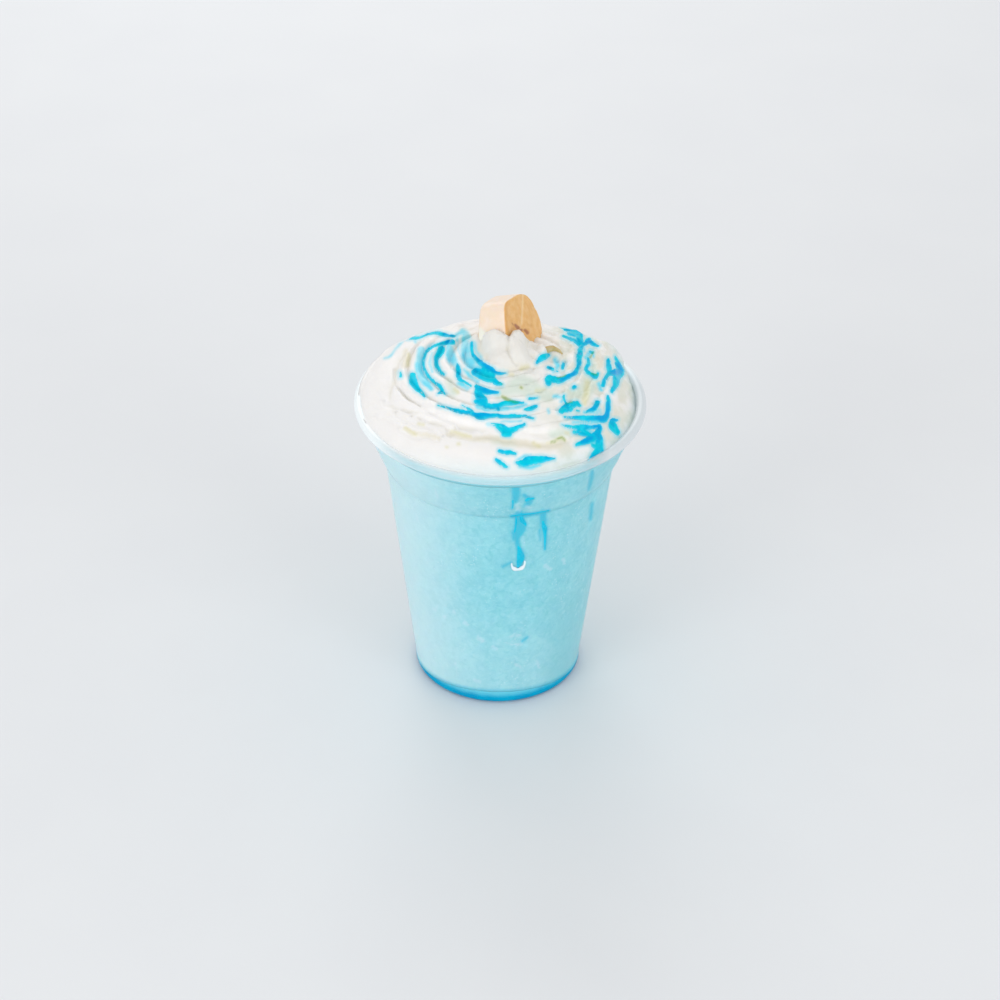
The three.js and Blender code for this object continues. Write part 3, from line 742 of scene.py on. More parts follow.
LEDGES = [
    (0.5, 7, [(378, 415), (384, 414), (389, 417), (395, 421), (401, 423)]),
    (0.8, 6, [(398, 414), (403, 416), (407, 419.4), (414, 421.7), (420, 423.3), (427, 425), (433, 428.3),
                (439, 432.8)]),
    (0.7, 5, [(414, 417), (423, 416), (429, 418.9), (438, 421.7), (445, 425), (452, 428.3)]),
    (0.5, 4, [(423, 418.9), (434, 423.9), (441, 428.3), (448, 431.7)]),
    (0.8, 5, [(402, 427.5), (408, 431.7), (416, 433.9), (423, 433.3), (429, 433.9), (436, 437)]),
    (0.8, 6, [(450, 431), (457, 433), (463, 434), (471, 436), (478, 434), (484, 433), (491, 434),
              (501, 436.5), (512, 438), (524, 440), (545, 441), (556, 439.5), (566, 437)]),
    (0.3, 5, [(438, 411.7), (448, 415), (456, 419.4), (465, 422.8), (474, 425), (486, 426)]),
    (0.5, 6, [(386, 402), (395, 406), (408, 409), (420, 411), (432, 410)]),
    (0.5, 5, [(530, 386), (542, 388), (555, 386), (566, 390)]),
    (0.5, 5, [(520, 373), (532, 377), (541, 375)]),
    (0.5, 5, [(524, 429), (538, 431), (552, 431.4)]),
    (0.6, 4, [(603, 391), (612, 396), (621, 395), (628, 388)]),
    (0.5, 4, [(600, 405), (609, 409), (620, 408)]),
    (0.5, 4, [(573, 352), (566, 357), (560, 361)]),
    (0.5, 4, [(596, 350), (604, 355), (611, 361)]),
]
NO_LINE = 999.0
LEDGE_DROP, FURROW = 1.9, 0.35
RIM_DIP, RIM_DIP_START, RIM_DIP_RUN = 0.9, 50.9, 1.6
SOFT_LUMPS, TORN_LUMPS, FINE_LUMPS, STREAKS, LOOSEST = 0.3, 0.2, 0.08, 0.16, 0.9
GROOVE_DEPTH = 0.6
HAND = 0.9
STROKE_SWELL, NIP_DEPTH = 0.35, 0.5
BACK_SHORE, ROUND_OFF, NO_SHORE = 40.0, 1.6, 99.0
PIXELS_A_MM = 2.6
DRIFT, DRIFT_START, DRIFT_END = 9.0, 12, 40
BACK_STROKES = [
    [(-25, 43.2, 0.5), (-21, 45, 1.2)],
    [(-11.6, 41.6, 0.4), (-13.2, 44.4, 1.2), (-15.6, 46.8, 1.6), (-18, 47.4, 0.7)],
    [(-1, 27.4, 0.4), (4, 28.6, 1.2), (9, 28.2, 1.3), (12.6, 26.8, 0.5)],
    [(2, 36.2, 0.4), (6, 36.8, 1.2), (11, 35.8, 0.6)],
    [(9.6, 41.6, 0.4), (13.4, 43, 1.3), (18.4, 42.2, 1.5), (22, 40.4, 0.5)],
    [(7, 46.2, 0.8), (8.8, 47.2, 1.1)],
    [(26, 41.4, 0.4), (30, 39.6, 1.3), (34, 36.4, 1.2), (36.4, 33, 0.5)],
]
PEAK_LOBES = [(-3.8, 3.8, 4.1, 5.4, 4.4), (6.5, 5.0, 2.4, 3.3, 3.2), (3.2, 1.4, 1.2, 2.8, 2.6),
              (13.2, 4.6, 0.6, 1.8, 1.8), (11.8, 6.4, -2.0, 3.2, 4.4),
              (16.4, 3.6, 1.5, 2.0, 2.2), (-8.6, 9.4, 4.8, 4.6, 3.6), (20.5, 2.4, -1.5, 3.4, 2.2)]
SHOULDER_LOBES = [(43, 27.5, 3.0, 6.0, 6.0), (17, 43, -1.9, 14, 9)]
print(len(CREAM_FOLDS), "folds,", len(LEDGES), "ledges and", len(PEAK_LOBES + SHOULDER_LOBES), "lobes")


def beside_line(pixels, line):
    """Distance from a line in the photograph, positive below it and negative above: off the nearest
    stretch, with the sign of the cross product of the stretch and the way there."""
    points = np.array(line, float)
    nearest = np.full(pixels.shape[:-1], NO_LINE)
    side = np.zeros_like(nearest)
    for start, end in zip(points[:-1], points[1:]):
        stretch = end - start
        along = np.clip((pixels - start) @ stretch / (stretch @ stretch), 0, 1)
        off = pixels - start - along[..., None] * stretch
        away = np.linalg.norm(off, axis=-1)
        below = np.sign(stretch[0] * off[..., 1] - stretch[1] * off[..., 0])
        side = np.where(away < nearest, below, side)
        nearest = np.minimum(away, nearest)
    return nearest * side


def ledge(pixels, rise, slope, line):
    """A torn layer of cream: it swells by exp(-(s / slope)^2) towards its line from above, breaks off
    below it by exp(-(s / drop)^2), and leaves a shallow furrow under the break."""
    off = beside_line(pixels, line)
    swell = np.exp(-((off / np.where(off < 0, slope, LEDGE_DROP)) ** 2))
    furrow = np.exp(-(((off - 2.2 * LEDGE_DROP) / LEDGE_DROP) ** 2))
    return rise * (swell - FURROW * furrow)


def lobe(x, y, at_x, at_y, rise, wide, deep):
    """A steep round lobe: rise times exp(-d^3), where d is the distance in units of its widths."""
    return rise * np.exp(-(np.hypot((x - at_x) / wide, (y - at_y) / deep) ** 3))


def rim_dip(x, y):
    """The cream dips where it meets the rim, where its edge isn't lower than the rim anyway."""
    shallow = smooth_step(edge_level(np.arctan2(y, x)) / EDGE + 0.3)
    return RIM_DIP * shallow * smooth_step((np.hypot(x, y) - RIM_DIP_START) / RIM_DIP_RUN)


def cream_surface(x, y):
    """Height of the cream, how deep each point lies in the syrup strokes, and its place in the
    photograph. Lobes of the peak, noise and streaks along the coil come first, then folds by
    exp(-(away / width)^2) and ledges along their lines, then a groove under the syrup."""
    distance = np.hypot(x - COIL_CENTRE[0], y - COIL_CENTRE[1])
    from_front = np.arctan2(x - COIL_CENTRE[0], COIL_CENTRE[1] - y)
    loose = 1 + LOOSEST * smooth_step((x - 8) / 20)
    height = piped_height(x, y) + sum(lobe(x, y, *entry) for entry in PEAK_LOBES + SHOULDER_LOBES)
    torn = 0.35 + 0.65 * smooth_step((COIL_RADIUS + 4 - distance) / 8)
    rough = TORN_LUMPS * lumps(x, y, 2.7, 2) + FINE_LUMPS * lumps(x, y, 1.3, 3)
    height = height + loose * (SOFT_LUMPS * lumps(x, y, 6.0, 1) + torn * rough)
    streak = lumps(distance, 8 * from_front, 1.5, 4) + 0.4 * lumps(distance, 10 * from_front, 0.8, 5)
    height = height + STREAKS * torn * streak - rim_dip(x, y)
    pixels = to_pixels(np.stack([x, y, height], -1))
    bent = unsteady(pixels, HAND)
    for rise, width, line in CREAM_FOLDS:
        away = inside_strokes(bent, [[(*place, 0) for place in line]])
        height = height + rise * np.exp(-((away / width) ** 2))
    for rise, slope, line in LEDGES:
        height = height + ledge(bent, rise, slope, line)
    height = height - GROOVE_DEPTH * smooth_step((stroke_depth(x, y, height)[0] + 0.8) / 3)
    return height, *stroke_depth(x, y, height)


def back_shore(x, y):
    """Distance in pixels to the wavy line at the back where the strokes of the photograph end."""
    shore = BACK_SHORE + 9 * (x / 50) ** 4 + 10 * smooth_step((-16 - x) / 6)
    shore = shore + 2.2 * lumps(x, y, 4.5, 30)
    shore = shore - np.hypot(x - COIL_CENTRE[0], y - COIL_CENTRE[1])
    return np.where(y > 0, PIXELS_A_MM * shore, NO_SHORE)


def seen_place(x, y, height, amount):
    """Place in the photograph with an unsteady hand. Near the far edge it also drifts sideways, so that
    no stroke runs straight back."""
    pixels = unsteady(to_pixels(np.stack([x, y, height], -1)), amount)
    drift = DRIFT * lumps(x, y, 6.0, 34) * smooth_step((DRIFT_START - back_shore(x, y)) / 8)
    drift = drift * smooth_step((DRIFT_END - np.abs(x)) / 5)
    return pixels + np.stack([drift, 0 * drift], -1)


def stroke_depth(x, y, height):
    """How deep each point lies inside the syrup strokes, and its place in the photograph. Noise nips at
    the strokes, which frays their edges. At the back the strokes end at a wavy shore, by the soft
    minimum -k log(exp(-a/k) + exp(-b/k)), and strokes given in the plan view take over."""
    pixels = seen_place(x, y, height, HAND)
    nips = smooth_step((lumps(pixels[..., 0], pixels[..., 1], 2.8, 25) - 0.1) / 0.6)
    seen = inside_strokes(pixels, SYRUP_STROKES) + STROKE_SWELL - NIP_DEPTH * nips
    plan = np.stack([x + 0.8 * lumps(x, y, 4.0, 28), y + 0.8 * lumps(x, y, 4.0, 29)], -1)
    rounded = -ROUND_OFF * np.logaddexp(-seen / ROUND_OFF, -back_shore(x, y) / ROUND_OFF)
    return np.maximum(rounded, PIXELS_A_MM * inside_strokes(plan, BACK_STROKES)), pixels


# %% [markdown]
# The cream's mesh
# A square grid pressed into a disc covers the cream evenly and has no pole in the middle. The disc
# is centred on the coil, so that its rings run along the ridges. Its border laps over the rim, or lies
# against the wall on the right, and from there a skirt goes down inside the wall to the drink.

# %% Grid over the cream
INTO_WALL = WALL / 2
DRINK_TOP = 115.5
CREAM_BOTTOM = DRINK_TOP - 0.1
LAP = 1.5


def disc_grid(cells):
    """A square grid pressed into a disc, whose squares become circles: the larger coordinate of a
    point is its distance from the middle, and the ratio of the two is its bearing."""
    line = np.linspace(-1, 1, cells + 1) + 1e-9
    a, b = np.meshgrid(line, line)
    wide = np.abs(a) > np.abs(b)
    distance = np.where(wide, a, b)
    bearing = np.where(wide, np.pi / 4 * b / a, np.pi / 2 - np.pi / 4 * a / b)
    return np.abs(distance), bearing + np.where(distance < 0, np.pi, 0)


def over_cream(cells):
    """Points of the disc grid as x and y over the cream, out to its edge: the wall's inside at the
    edge's height, plus the lap where the edge stands above the rim."""
    share, bearing = disc_grid(cells)
    level = edge_level(bearing)
    edge = wall_radius(np.minimum(RIM_HEIGHT + level, FLARE_TOP)) - WALL + INTO_WALL
    lap = LAP + bump(bearing, 0.7, 180, 50) - INTO_WALL
    edge = edge + lap * smooth_step(level / EDGE + 0.3)
    along = COIL_CENTRE[0] * np.cos(bearing) + COIL_CENTRE[1] * np.sin(bearing)
    reach = np.sqrt(edge**2 - COIL_CENTRE @ COIL_CENTRE + along**2) - along
    away = share * reach
    return COIL_CENTRE[0] + away * np.cos(bearing), COIL_CENTRE[1] + away * np.sin(bearing)


# %% Whipped cream
CREAM_CELLS = 284
SKIRT_ROWS = 9
x, y = over_cream(CREAM_CELLS)
height, depth = cream_surface(x, y)[:2]
top = np.stack([x, y, height], -1)
number = np.arange(x.size).reshape(x.shape)
border = np.concatenate([number[0, :-1], number[:-1, -1], number[-1, :0:-1], number[:0:-1, 0]])
edge_points = top.reshape(-1, 3)[border]
edge_bearing = np.arctan2(edge_points[:, 1], edge_points[:, 0])
fall = np.linspace(0, 1, SKIRT_ROWS)[:, None] ** 1.5
skirt_start = np.minimum(edge_points[:, 2] - 0.5, RIM_HEIGHT - 0.6)
skirt_height = skirt_start + (CREAM_BOTTOM - skirt_start) * fall
skirt_radius = wall_radius(np.minimum(skirt_height, FLARE_TOP)) - INTO_WALL
skirt = turned(skirt_radius, edge_bearing, skirt_height)
around = len(border)
loops = np.vstack([border, x.size + np.arange(SKIRT_ROWS * around).reshape(SKIRT_ROWS, around)])
beside = np.roll(loops, -1, axis=1)
bands = np.stack([loops[:-1], loops[1:], beside[1:], beside[:-1]], -1).reshape(-1, 4)
cells = grid_faces(CREAM_CELLS + 1, CREAM_CELLS + 1, wrap=False)
under = np.column_stack([loops[-1], np.full(around, x.size + SKIRT_ROWS * around), beside[-1]])
cream_points = np.vstack([top.reshape(-1, 3), skirt.reshape(-1, 3), [[0, 0, CREAM_BOTTOM]]])

# %% [markdown]
# Colour hints for the cream
# Seven values are kept for each point. Stain is the pale blue of watered syrup round and between the
# strokes. Green, the strongest tint, is where syrup met the yellow of the banana. Mint is a grey green,
# mostly over the middle and the right, and olive a yellow tint along the lines under the torn ledges and
# in a few specks; both are partly tint and partly painted shade. Tan is painted shadow, mostly in the
# crease at the foot of the coil. Crease shade is painted shade, darker where a point lies below its
# surroundings. Aqua is the blue of the drink that shines through the cream near the wall.

# %% Values of the cream
HALO, SHINE_THROUGH = 0.62, 0.22


def crease_of(height, reach):
    """How far the surface lies below the mean of its neighbours at a reach of some cells."""
    padded = np.pad(height, reach, mode="edge")
    rows, columns = height.shape
    total = 0
    for i in (0, reach, 2 * reach):
        for j in (0, reach, 2 * reach):
            total = total + padded[i:i + rows, j:j + columns]
    return total / 9 - height


def with_skirt(values, skirt_values):
    """The values of the top, of the skirt and of the point under it, in the order of the mesh."""
    return np.concatenate([values.ravel(), skirt_values.ravel(), [skirt_values[-1].mean()]])


calm = seen_place(x, y, height, 1.0)
front = smooth_step((back_shore(x, y) + 5) / 10)
halo = smooth_step((depth + 3.8) / 4.6)
pale = soft_inside(calm, PALE_STROKES, 2.2, 4.2)
uneven = 0.95 + 0.25 * lumps(calm[..., 0], calm[..., 1], 5.0, 26)
stain = np.maximum(HALO * halo, front * pale * uneven)
radius = np.hypot(x, y)
# Painted shade: how far a point lies below its surroundings darkens the cream there.
crease_shade = smooth_step((crease_of(height, 4) + 0.5 * crease_of(height, 10)) / 1.5)
crease_shade = crease_shade * smooth_step((50 - radius) / 3)
front_right = smooth_step(0.4 - np.cos(np.arctan2(y, x) - math.radians(150)))
aqua = SHINE_THROUGH * smooth_step((radius - 47) / 5) * front_right
skirt_aqua = SHINE_THROUGH + (1 - SHINE_THROUGH) * smooth_step((RIM_HEIGHT - 0.6 - skirt_height) / 4.0)
empty = np.zeros_like(skirt_aqua)
hints = {
    "stain": stain,
    "olive_and_shade": front * soft_inside(calm, OLIVE_AND_SHADE_STROKES, 2.6, 4.8),
    "mint_and_shade": front * soft_inside(calm, MINT_AND_SHADE_STROKES, 5, 9),
    "tan_shade": front * soft_inside(calm, TAN_SHADE_STROKES, 2.5, 5),
    "green": soft_inside(calm, GREEN_STROKES, GREEN_REACH, GREEN_FADE),
    "crease_shade": crease_shade,
}
cream_values = {label: with_skirt(hint, empty) for label, hint in hints.items()}
cream_values["aqua"] = with_skirt(aqua, skirt_aqua)
cream_faces = np.vstack([cells, bands]).tolist() + under.tolist()
cream = add_piece("whipped_cream", cream_points, cream_faces, cream_values)
print("cream from", round(cream_points[:, 2].min(), 1), "to", round(cream_points[:, 2].max(), 1), "mm")

# %% [markdown]
# Whipped cream
# Whipped cream is white with a soft glow, because light enters it and comes out a little way off. The
# finish uses subsurface light with a reach of a few millimetres, a soft gloss, and the seven hints.

# %% Whipped cream finish
FROST_DARK_AND_SHADE, FROST_MID, FROST_LIGHT = (92, 194, 206), (122, 205, 217), (152, 219, 227)
whipped = Finish("whipped_cream", Roughness=0.42, Subsurface_Weight=0.35, Subsurface_Scale=0.0022,
                 Subsurface_Radius=(1.0, 0.95, 0.85))
colour = whipped.coats(
    whipped.mix(whipped.noise(9, 3.0), (237, 236, 235), (242, 241, 240)),
    # A greener grey over the right side: partly tint, partly painted shade away from the key lamp.
    (whipped.along("X").step(6, 26) * whipped.noise(7, 3.0).step(0.3, 0.6) * 0.8, (219, 221, 208)),
    # Painted shade: the peak, above about 140 mm, is greyer than the cream below.
    (whipped.along("Z").step(137, 141) * 0.9, (228, 226, 221)),
    # Painted shade in the creases.
    (whipped.value("crease_shade") * 0.55, (226, 223, 210)),
    # Grey green, partly painted shade.
    (whipped.value("mint_and_shade") * 0.75, (206, 222, 210)),
    # Painted shadow, mostly in the crease at the foot of the coil.
    (whipped.value("tan_shade") * 0.7, (226, 221, 202)),
    # Olive tint, partly painted shade under the ledges.
    (whipped.value("olive_and_shade") * 0.6, (216, 212, 158)),
    (whipped.value("stain").at_most(1.0) * 0.95, (98, 218, 242)),
    (whipped.value("green") * 0.8, (138, 168, 84)),
    (whipped.value("aqua"), FROST_MID),
)
whipped.vary({"Base Color": colour})
whipped.relief(whipped.noise(0.8, 4.0, 0.6), 0.12)
give(cream, whipped, "cream", "cream")

# %% [markdown]
# Syrup on the cream
# The syrup is a thick glossy layer in the grooves. Its sheet is the cream's surface raised where a
# point is inside a stroke, and lowered outside, so the sheet dives under the cream and the two meet in
# a crisp edge. Only cells near a stroke are kept.

# %% Syrup sheet
SYRUP_CELLS = 400
SYRUP_RISE, SYRUP_DIVE, SYRUP_THICKNESS = 0.32, 0.3, 0.9
x, y = over_cream(SYRUP_CELLS)
height, depth, pixels = cream_surface(x, y)
raised = np.where(depth > 0, SYRUP_RISE * (1 - np.exp(-depth)), SYRUP_DIVE * depth)
raised = raised + 0.08 * lumps(x, y, 2.0, 31) * smooth_step(depth)
sheet = np.stack([x, y, height + raised], -1)
syrup_values = {
    "inside": depth,
    "green": soft_inside(pixels, GREEN_STROKES, GREEN_REACH, GREEN_FADE),
    "deep": soft_inside(pixels, DEEP_STROKES, 2.2, 4.0),
}
syrup = film_piece("blue_syrup", sheet, depth, syrup_values, SYRUP_THICKNESS)

sauce = Finish("blue_syrup", Roughness=0.25, Specular_IOR_Level=0.05)
colour = sauce.coats(
    sauce.mix(sauce.noise(5, 3.0).step(0.38, 0.62), (0, 188, 228), (4, 200, 222)),
    # Painted light: syrup on the left is lighter, to make up for its slopes turned from the lamps.
    (sauce.along("X").step(-10, -30) * 0.7, (16, 222, 242)),
    (sauce.noise(2.6, 3.0).step(0.5, 0.66) * 0.5, (40, 214, 238)),
    (sauce.noise(3.4, 2.0).step(0.46, 0.34) * 0.6, (0, 166, 216)),
    (sauce.value("deep") * 0.8, (0, 158, 224)),
    (sauce.value("inside").step(1.6, -0.4) * 0.75, (104, 224, 244)),
    (sauce.value("green") * 0.8, (40, 176, 120)),
)
sauce.vary({"Base Color": colour})
sauce.relief(sauce.noise(1.5, 3.0), 0.15)
give(syrup, sauce, "syrup")

# %% [markdown]
# The drink and the syrup under it
# Blended ice fills the cup from a layer of syrup up to the cream. Cutting one body in two with a Boolean
# would leave an uneven mesh at the line between them, so both are stacks of rings. The rings reach just
# into the wall, so that no gap of air shows. The line between the two waves: the syrup stands highest at
# the front and the back.

# %% Drink and syrup layer
SYRUP_DEPTH, SYRUP_WAVE, SUNK_BAND = 4.2, 1.9, 2.6
FILLING_SECTORS = 448
DRINK_ROWS = 176
CORNER = 0.05
INNER_ROWS = np.array([5.0, 12, 18, 22, 25, 26.6, 29.0])[:, None]
angle = np.linspace(0, 2 * np.pi, FILLING_SECTORS, endpoint=False)
wall_line = side(INTO_WALL, DRINK_TOP)


def syrup_top(radius):
    """Height of the syrup: a cosine of twice the bearing that grows with the square of the radius."""
    return SYRUP_DEPTH - SYRUP_WAVE * np.minimum(1, radius / FOOT_OUTER) ** 2 * np.cos(2 * angle)


def between(low, high, rows):
    """Rings against the wall from one height to another, both given for each bearing."""
    height = low + (high - low) * np.linspace(0, 1, rows)[:, None]
    return np.interp(height, wall_line[:, 1], wall_line[:, 0]), height


inner = INNER_ROWS + 0 * angle
shore = syrup_top(FOOT_OUTER)
floor_height = np.interp(inner, [FOOT_INNER - FOOT_RECESS, FOOT_INNER], [FOOT_RECESS + INTO_WALL, INTO_WALL])
side_radius, side_height = between(INTO_WALL + 0 * angle, shore, 14)
layer = closed_rings("base_syrup_layer", about_axis(
    np.vstack([inner, side_radius, side_radius[-1:] - CORNER, inner[::-1]]),
    np.vstack([floor_height, side_height, side_height[-1:], syrup_top(inner[::-1])]), FILLING_SECTORS))
side_radius, side_height = between(shore, DRINK_TOP + 0 * angle, DRINK_ROWS)
drink_rings = about_axis(
    np.vstack([inner, side_radius[:1] - CORNER, side_radius, inner[::-1]]),
    np.vstack([syrup_top(inner), side_height[:1], side_height, DRINK_TOP + 0 * inner]), FILLING_SECTORS)

# %% [markdown]
# Syrup inside the wall
# Some syrup ran down between the drink and the wall, at the front. It is drawn like the strokes on the
# cream: a pale stain on the drink's surface, and a thin sheet of syrup in the thickness of the wall.
# Two more values are kept for the drink: milk, in a few pale spots, and sunk, in the band above the
# layer of syrup that has taken its colour.

# %% Runs of syrup
WALL_RUNS = [
    [(521.5, 515, 1.6), (522.6, 520, 2.4), (526, 525, 1.2)],
    [(516.4, 517, 0.8), (516.6, 524, 1), (514.6, 532, 0.8)],
    [(511.5, 515.8, 0.6), (522, 515, 1.1), (534, 513.6, 0.8), (549, 510.4, 0.6)],
    [(526.4, 500.6, 1.4), (529, 499.2, 1.5), (533.4, 498.6, 0.8)],
    [(512.6, 501, 0.7), (512.4, 508, 0.5)],
    [(519.4, 547, 1.2), (520.6, 551, 2.4), (521.2, 556, 3.6), (520.2, 561, 2.9), (519.4, 565.6, 1.8)],
    [(543.6, 522, 1.2), (545, 527.6, 2.6), (545, 532, 1.8), (545.4, 540, 1.1), (545.8, 549, 0.9)],
]
PALE_RUNS = [
    [(516, 487, 4.4), (516.2, 495, 4.6), (514.6, 501, 3.2)],
    [(524, 495, 2), (530, 501, 3), (526, 505, 2.4)],
    [(513, 516, 2), (524, 515.4, 2.6), (536, 514, 2), (549, 511, 1.4)],
    [(520, 515, 5), (520.5, 521, 5.4), (521.4, 527, 5.4), (517.6, 534, 5), (517.4, 540, 3.4), (519, 548, 2.6),
     (521, 556, 3.6)],
    [(513, 533, 2), (513.4, 540, 1.4)],
    [(543, 513, 3.8), (543.8, 522, 3.4), (545, 532, 2.8), (545.8, 548, 1.8)],
    [(540, 530, 1.4), (540.4, 540, 1)],
    [(592.4, 503, 1.4), (591, 512, 2), (590.4, 519, 1.8)],
    [(592, 472, 1.8), (590, 484, 1.8), (588, 490, 1)],
    [(504, 566, 1.6), (512, 562, 1.2)],
    [(524, 641, 1.3), (529, 637, 1.2)],
]
MILK_SPOTS = [
    [(516.6, 506, 2.6), (519.6, 510, 2.8)],
    [(527, 506.6, 2.4), (530, 508, 2)],
    [(436, 489, 0.9), (437.5, 500, 0.7)],
    [(417, 517, 1), (418, 521, 0.7)],
    [(563, 559, 1.8), (565, 562, 1.6)],
    [(548, 567, 3), (552, 568, 2.4)],
    [(436, 610, 1.6), (438, 607, 1)],
    [(446, 605, 1.1), (446.4, 606, 1.1)],
    [(455, 612, 1.4), (457, 613, 1)],
    [(445, 616, 1), (446, 618, 0.8)],
    [(466, 621, 2), (470, 624, 1.4)],
    [(479, 637, 2.6), (485, 640, 1.8)],
    [(511, 636.5, 0.7), (516, 636, 0.9)],
    [(518.6, 636, 1.8), (521.6, 636, 1.8)],
    [(508, 642, 0.7), (516, 645, 0.8), (524, 644.4, 0.6)],
    [(493, 647, 2.4), (498, 649, 1.8)],
    [(458, 664, 1), (460.5, 676, 0.7)],
    [(477, 680.6, 2.2), (481, 680.8, 1.6)],
    [(518, 664, 2), (522, 666, 1.6)],
    [(540, 662, 2), (542, 668, 1.4)],
]
facing = drink_rings[..., 1] < 0
seen_at = to_pixels(drink_rings)
bent = unsteady(seen_at, 0.8)
run = np.maximum(soft_inside(bent, PALE_RUNS, 1.6, 3.4), soft_inside(bent, WALL_RUNS, 2.4, 3))
crumbly = 1.1 * lumps(bent[..., 0], bent[..., 1], 1.8, 27)
milk = soft_inside(unsteady(seen_at, 1.8), MILK_SPOTS, 0.8 + crumbly, 2.4)
from_axis = np.hypot(drink_rings[..., 0], drink_rings[..., 1])
sunk = smooth_step((syrup_top(from_axis) + SUNK_BAND - drink_rings[..., 2]) / SUNK_BAND)
drink_values = {"run": 0.9 * run * facing, "milk": milk * facing, "sunk": sunk}
drink = closed_rings("icy_drink", drink_rings, drink_values)

# %% [markdown]
# Blended ice
# The drink is pale, cloudy and full of fine ice, and light enters it a little way. It could be a volume,
# but that renders slowly and with grain, so it is a surface with some subsurface light. Noise of three
# sizes gives clouds and flakes, and scattered points of a Voronoi texture give crystals and crumbs. A
# painted sheen makes the left side paler, painted shade makes the lower right side deeper, and a line of
# painted shade runs along the cup's ledge. The drink also pales a little towards the bottom.

# %% Blended ice finish
ICE_AND_SHEEN_WHITE = (226, 243, 246)
ice = Finish("blended_ice", Roughness=0.4, Subsurface_Weight=0.25, Subsurface_Scale=0.003)
cloudy = ice.noise(7, 5.0, 0.65, 0.3, (1, 1, 0.8))
patchy = ice.noise(3.6, 3.0, 0.6, 1.2)
flakes = ice.noise(1.7, 1.5, 0.5, 0.6)
height, right = ice.along("Z"), ice.along("X")
# Painted shade: a dark teal line along the ledge of the cup, drawn on the drink.
ledge_shade = height.step(96.4, 97.6) * height.step(99.2, 98.0) * ice.noise(9, 2.0).step(0.3, 0.55)
crystal = ice.grains(1.3).step(0.26, 0.1) * ice.noise(12, 2.0).step(0.5, 0.64)
crumbs = height.step(20, 34) * height.step(74, 50) * ice.noise(9, 3.0).step(0.46, 0.62)
colour = ice.coats(
    ice.mix(cloudy.step(0.3, 0.72) * 0.7, FROST_MID, FROST_LIGHT),
    (patchy.step(0.52, 0.66) * 0.4, FROST_DARK_AND_SHADE),
    (patchy.step(0.46, 0.34) * 0.45, FROST_LIGHT),
    (flakes.step(0.52, 0.68) * 0.2, (172, 228, 238)),
    (flakes.step(0.46, 0.34) * 0.12, FROST_DARK_AND_SHADE),
    (ledge_shade * 0.6, (92, 186, 200)),
    (crystal * 0.55, (222, 240, 246)),
    # Painted sheen: the left side paler, for the light from that side.
    (right.step(0, -44) * 0.62, ICE_AND_SHEEN_WHITE),
    (height.step(62, 12) * 0.2, ICE_AND_SHEEN_WHITE),
    # Painted shade: the lower right side deeper, away from the light.
    (right.step(13, 27) * height.step(66, 30) * 0.5, FROST_DARK_AND_SHADE),
    (ice.grains(3.0).step(0.45, 0.2) * crumbs * 0.28, (186, 232, 240)),
    (ice.value("run"), (34, 188, 214)),
    (ice.value("milk") * 0.36, (216, 230, 240)),
    (ice.value("sunk") * 0.8, (66, 190, 214)),
)
ice.vary({"Base Color": colour})
ice.relief(ice.noise(2.0, 3.0, 0.6), 0.15)
give(drink, ice, "drink", "drink")

# %% [markdown]
# Syrup at the bottom
# The syrup that sank is a strong blue, and pales upward along a line that noise bends. It hardly shines
# by itself, because the gloss belongs to the plastic in front of it.

# %% Syrup layer finish
pool = Finish("pooled_syrup", Roughness=0.3, Specular_IOR_Level=0.02)
surface = (pool.along("Z") + 1.6 * pool.noise(5, 2.0)).step(3.6, 6.6)
colour = pool.mix(pool.noise(8, 2.0).step(0.35, 0.65), (0, 152, 198), (0, 166, 205))
colour = pool.mix(surface * 0.85, colour, (112, 212, 230))
pool.vary({"Base Color": colour})
give(layer, pool, "syrup", "base_syrup")

# %% [markdown]
# Syrup against the wall
# The runs are a patch of the wall's own surface, cut to the strokes. The sheet stands a little proud
# inside them and dives into the wall outside, as the sheet on the cream does. A mask on the plastic could
# colour it too, but syrup has a thickness and a gloss of its own.

# %% Wall syrup
PATCH_BEARINGS = np.radians(np.linspace(-94, -58, 170))
PATCH_HEIGHTS = np.linspace(62, 118, 190)
RUN_RISE, RUN_FADE, RUN_DIVE, RUN_THICKNESS = 0.22, 1.2, 0.2, 0.5
bearing, level = np.meshgrid(PATCH_BEARINGS, PATCH_HEIGHTS, indexing="xy")
under_wall = wall_radius(level) - INTO_WALL
depth = inside_strokes(unsteady(to_pixels(turned(under_wall, bearing, level)), 0.8), WALL_RUNS)
proud = under_wall + np.where(depth > 0, RUN_RISE * (1 - np.exp(-depth / RUN_FADE)), RUN_DIVE * depth)
patch = turned(proud, bearing, level)
runs = film_piece("wall_syrup", patch, depth, {"inside": depth + 0.6}, RUN_THICKNESS)
thin = Finish("thin_syrup", Roughness=0.25, Specular_IOR_Level=0.15)
colour = thin.coats(
    thin.mix(thin.noise(3, 3.0).step(0.35, 0.65), (0, 186, 218), (14, 198, 226)),
    (thin.value("inside").step(1.0, -0.3) * 0.7, (92, 208, 228)),
)
thin.vary({"Base Color": colour})
give(runs, thin, "syrup")

# %% [markdown]
# Clear plastic
# Thin plastic bends no light: it adds a sheen that grows towards the edges, and a faint haze. So the
# finish mixes a transparent shader with a white glossy one. The Fresnel rule sets the sheen, and the
# Layer Weight node sets the haze, which is thicker where one looks along the wall. On the left a painted
# sheen adds to the haze. The rim is milky, and whiter at the left and right by a painted sheen. On the
# right some cream is smeared inside the wall above the cream's edge, and the upper wall on the right is
# painted darker, as painted shade. Where syrup wets the wall, one of its two sheens is gone, and the
# colour shows clearer.

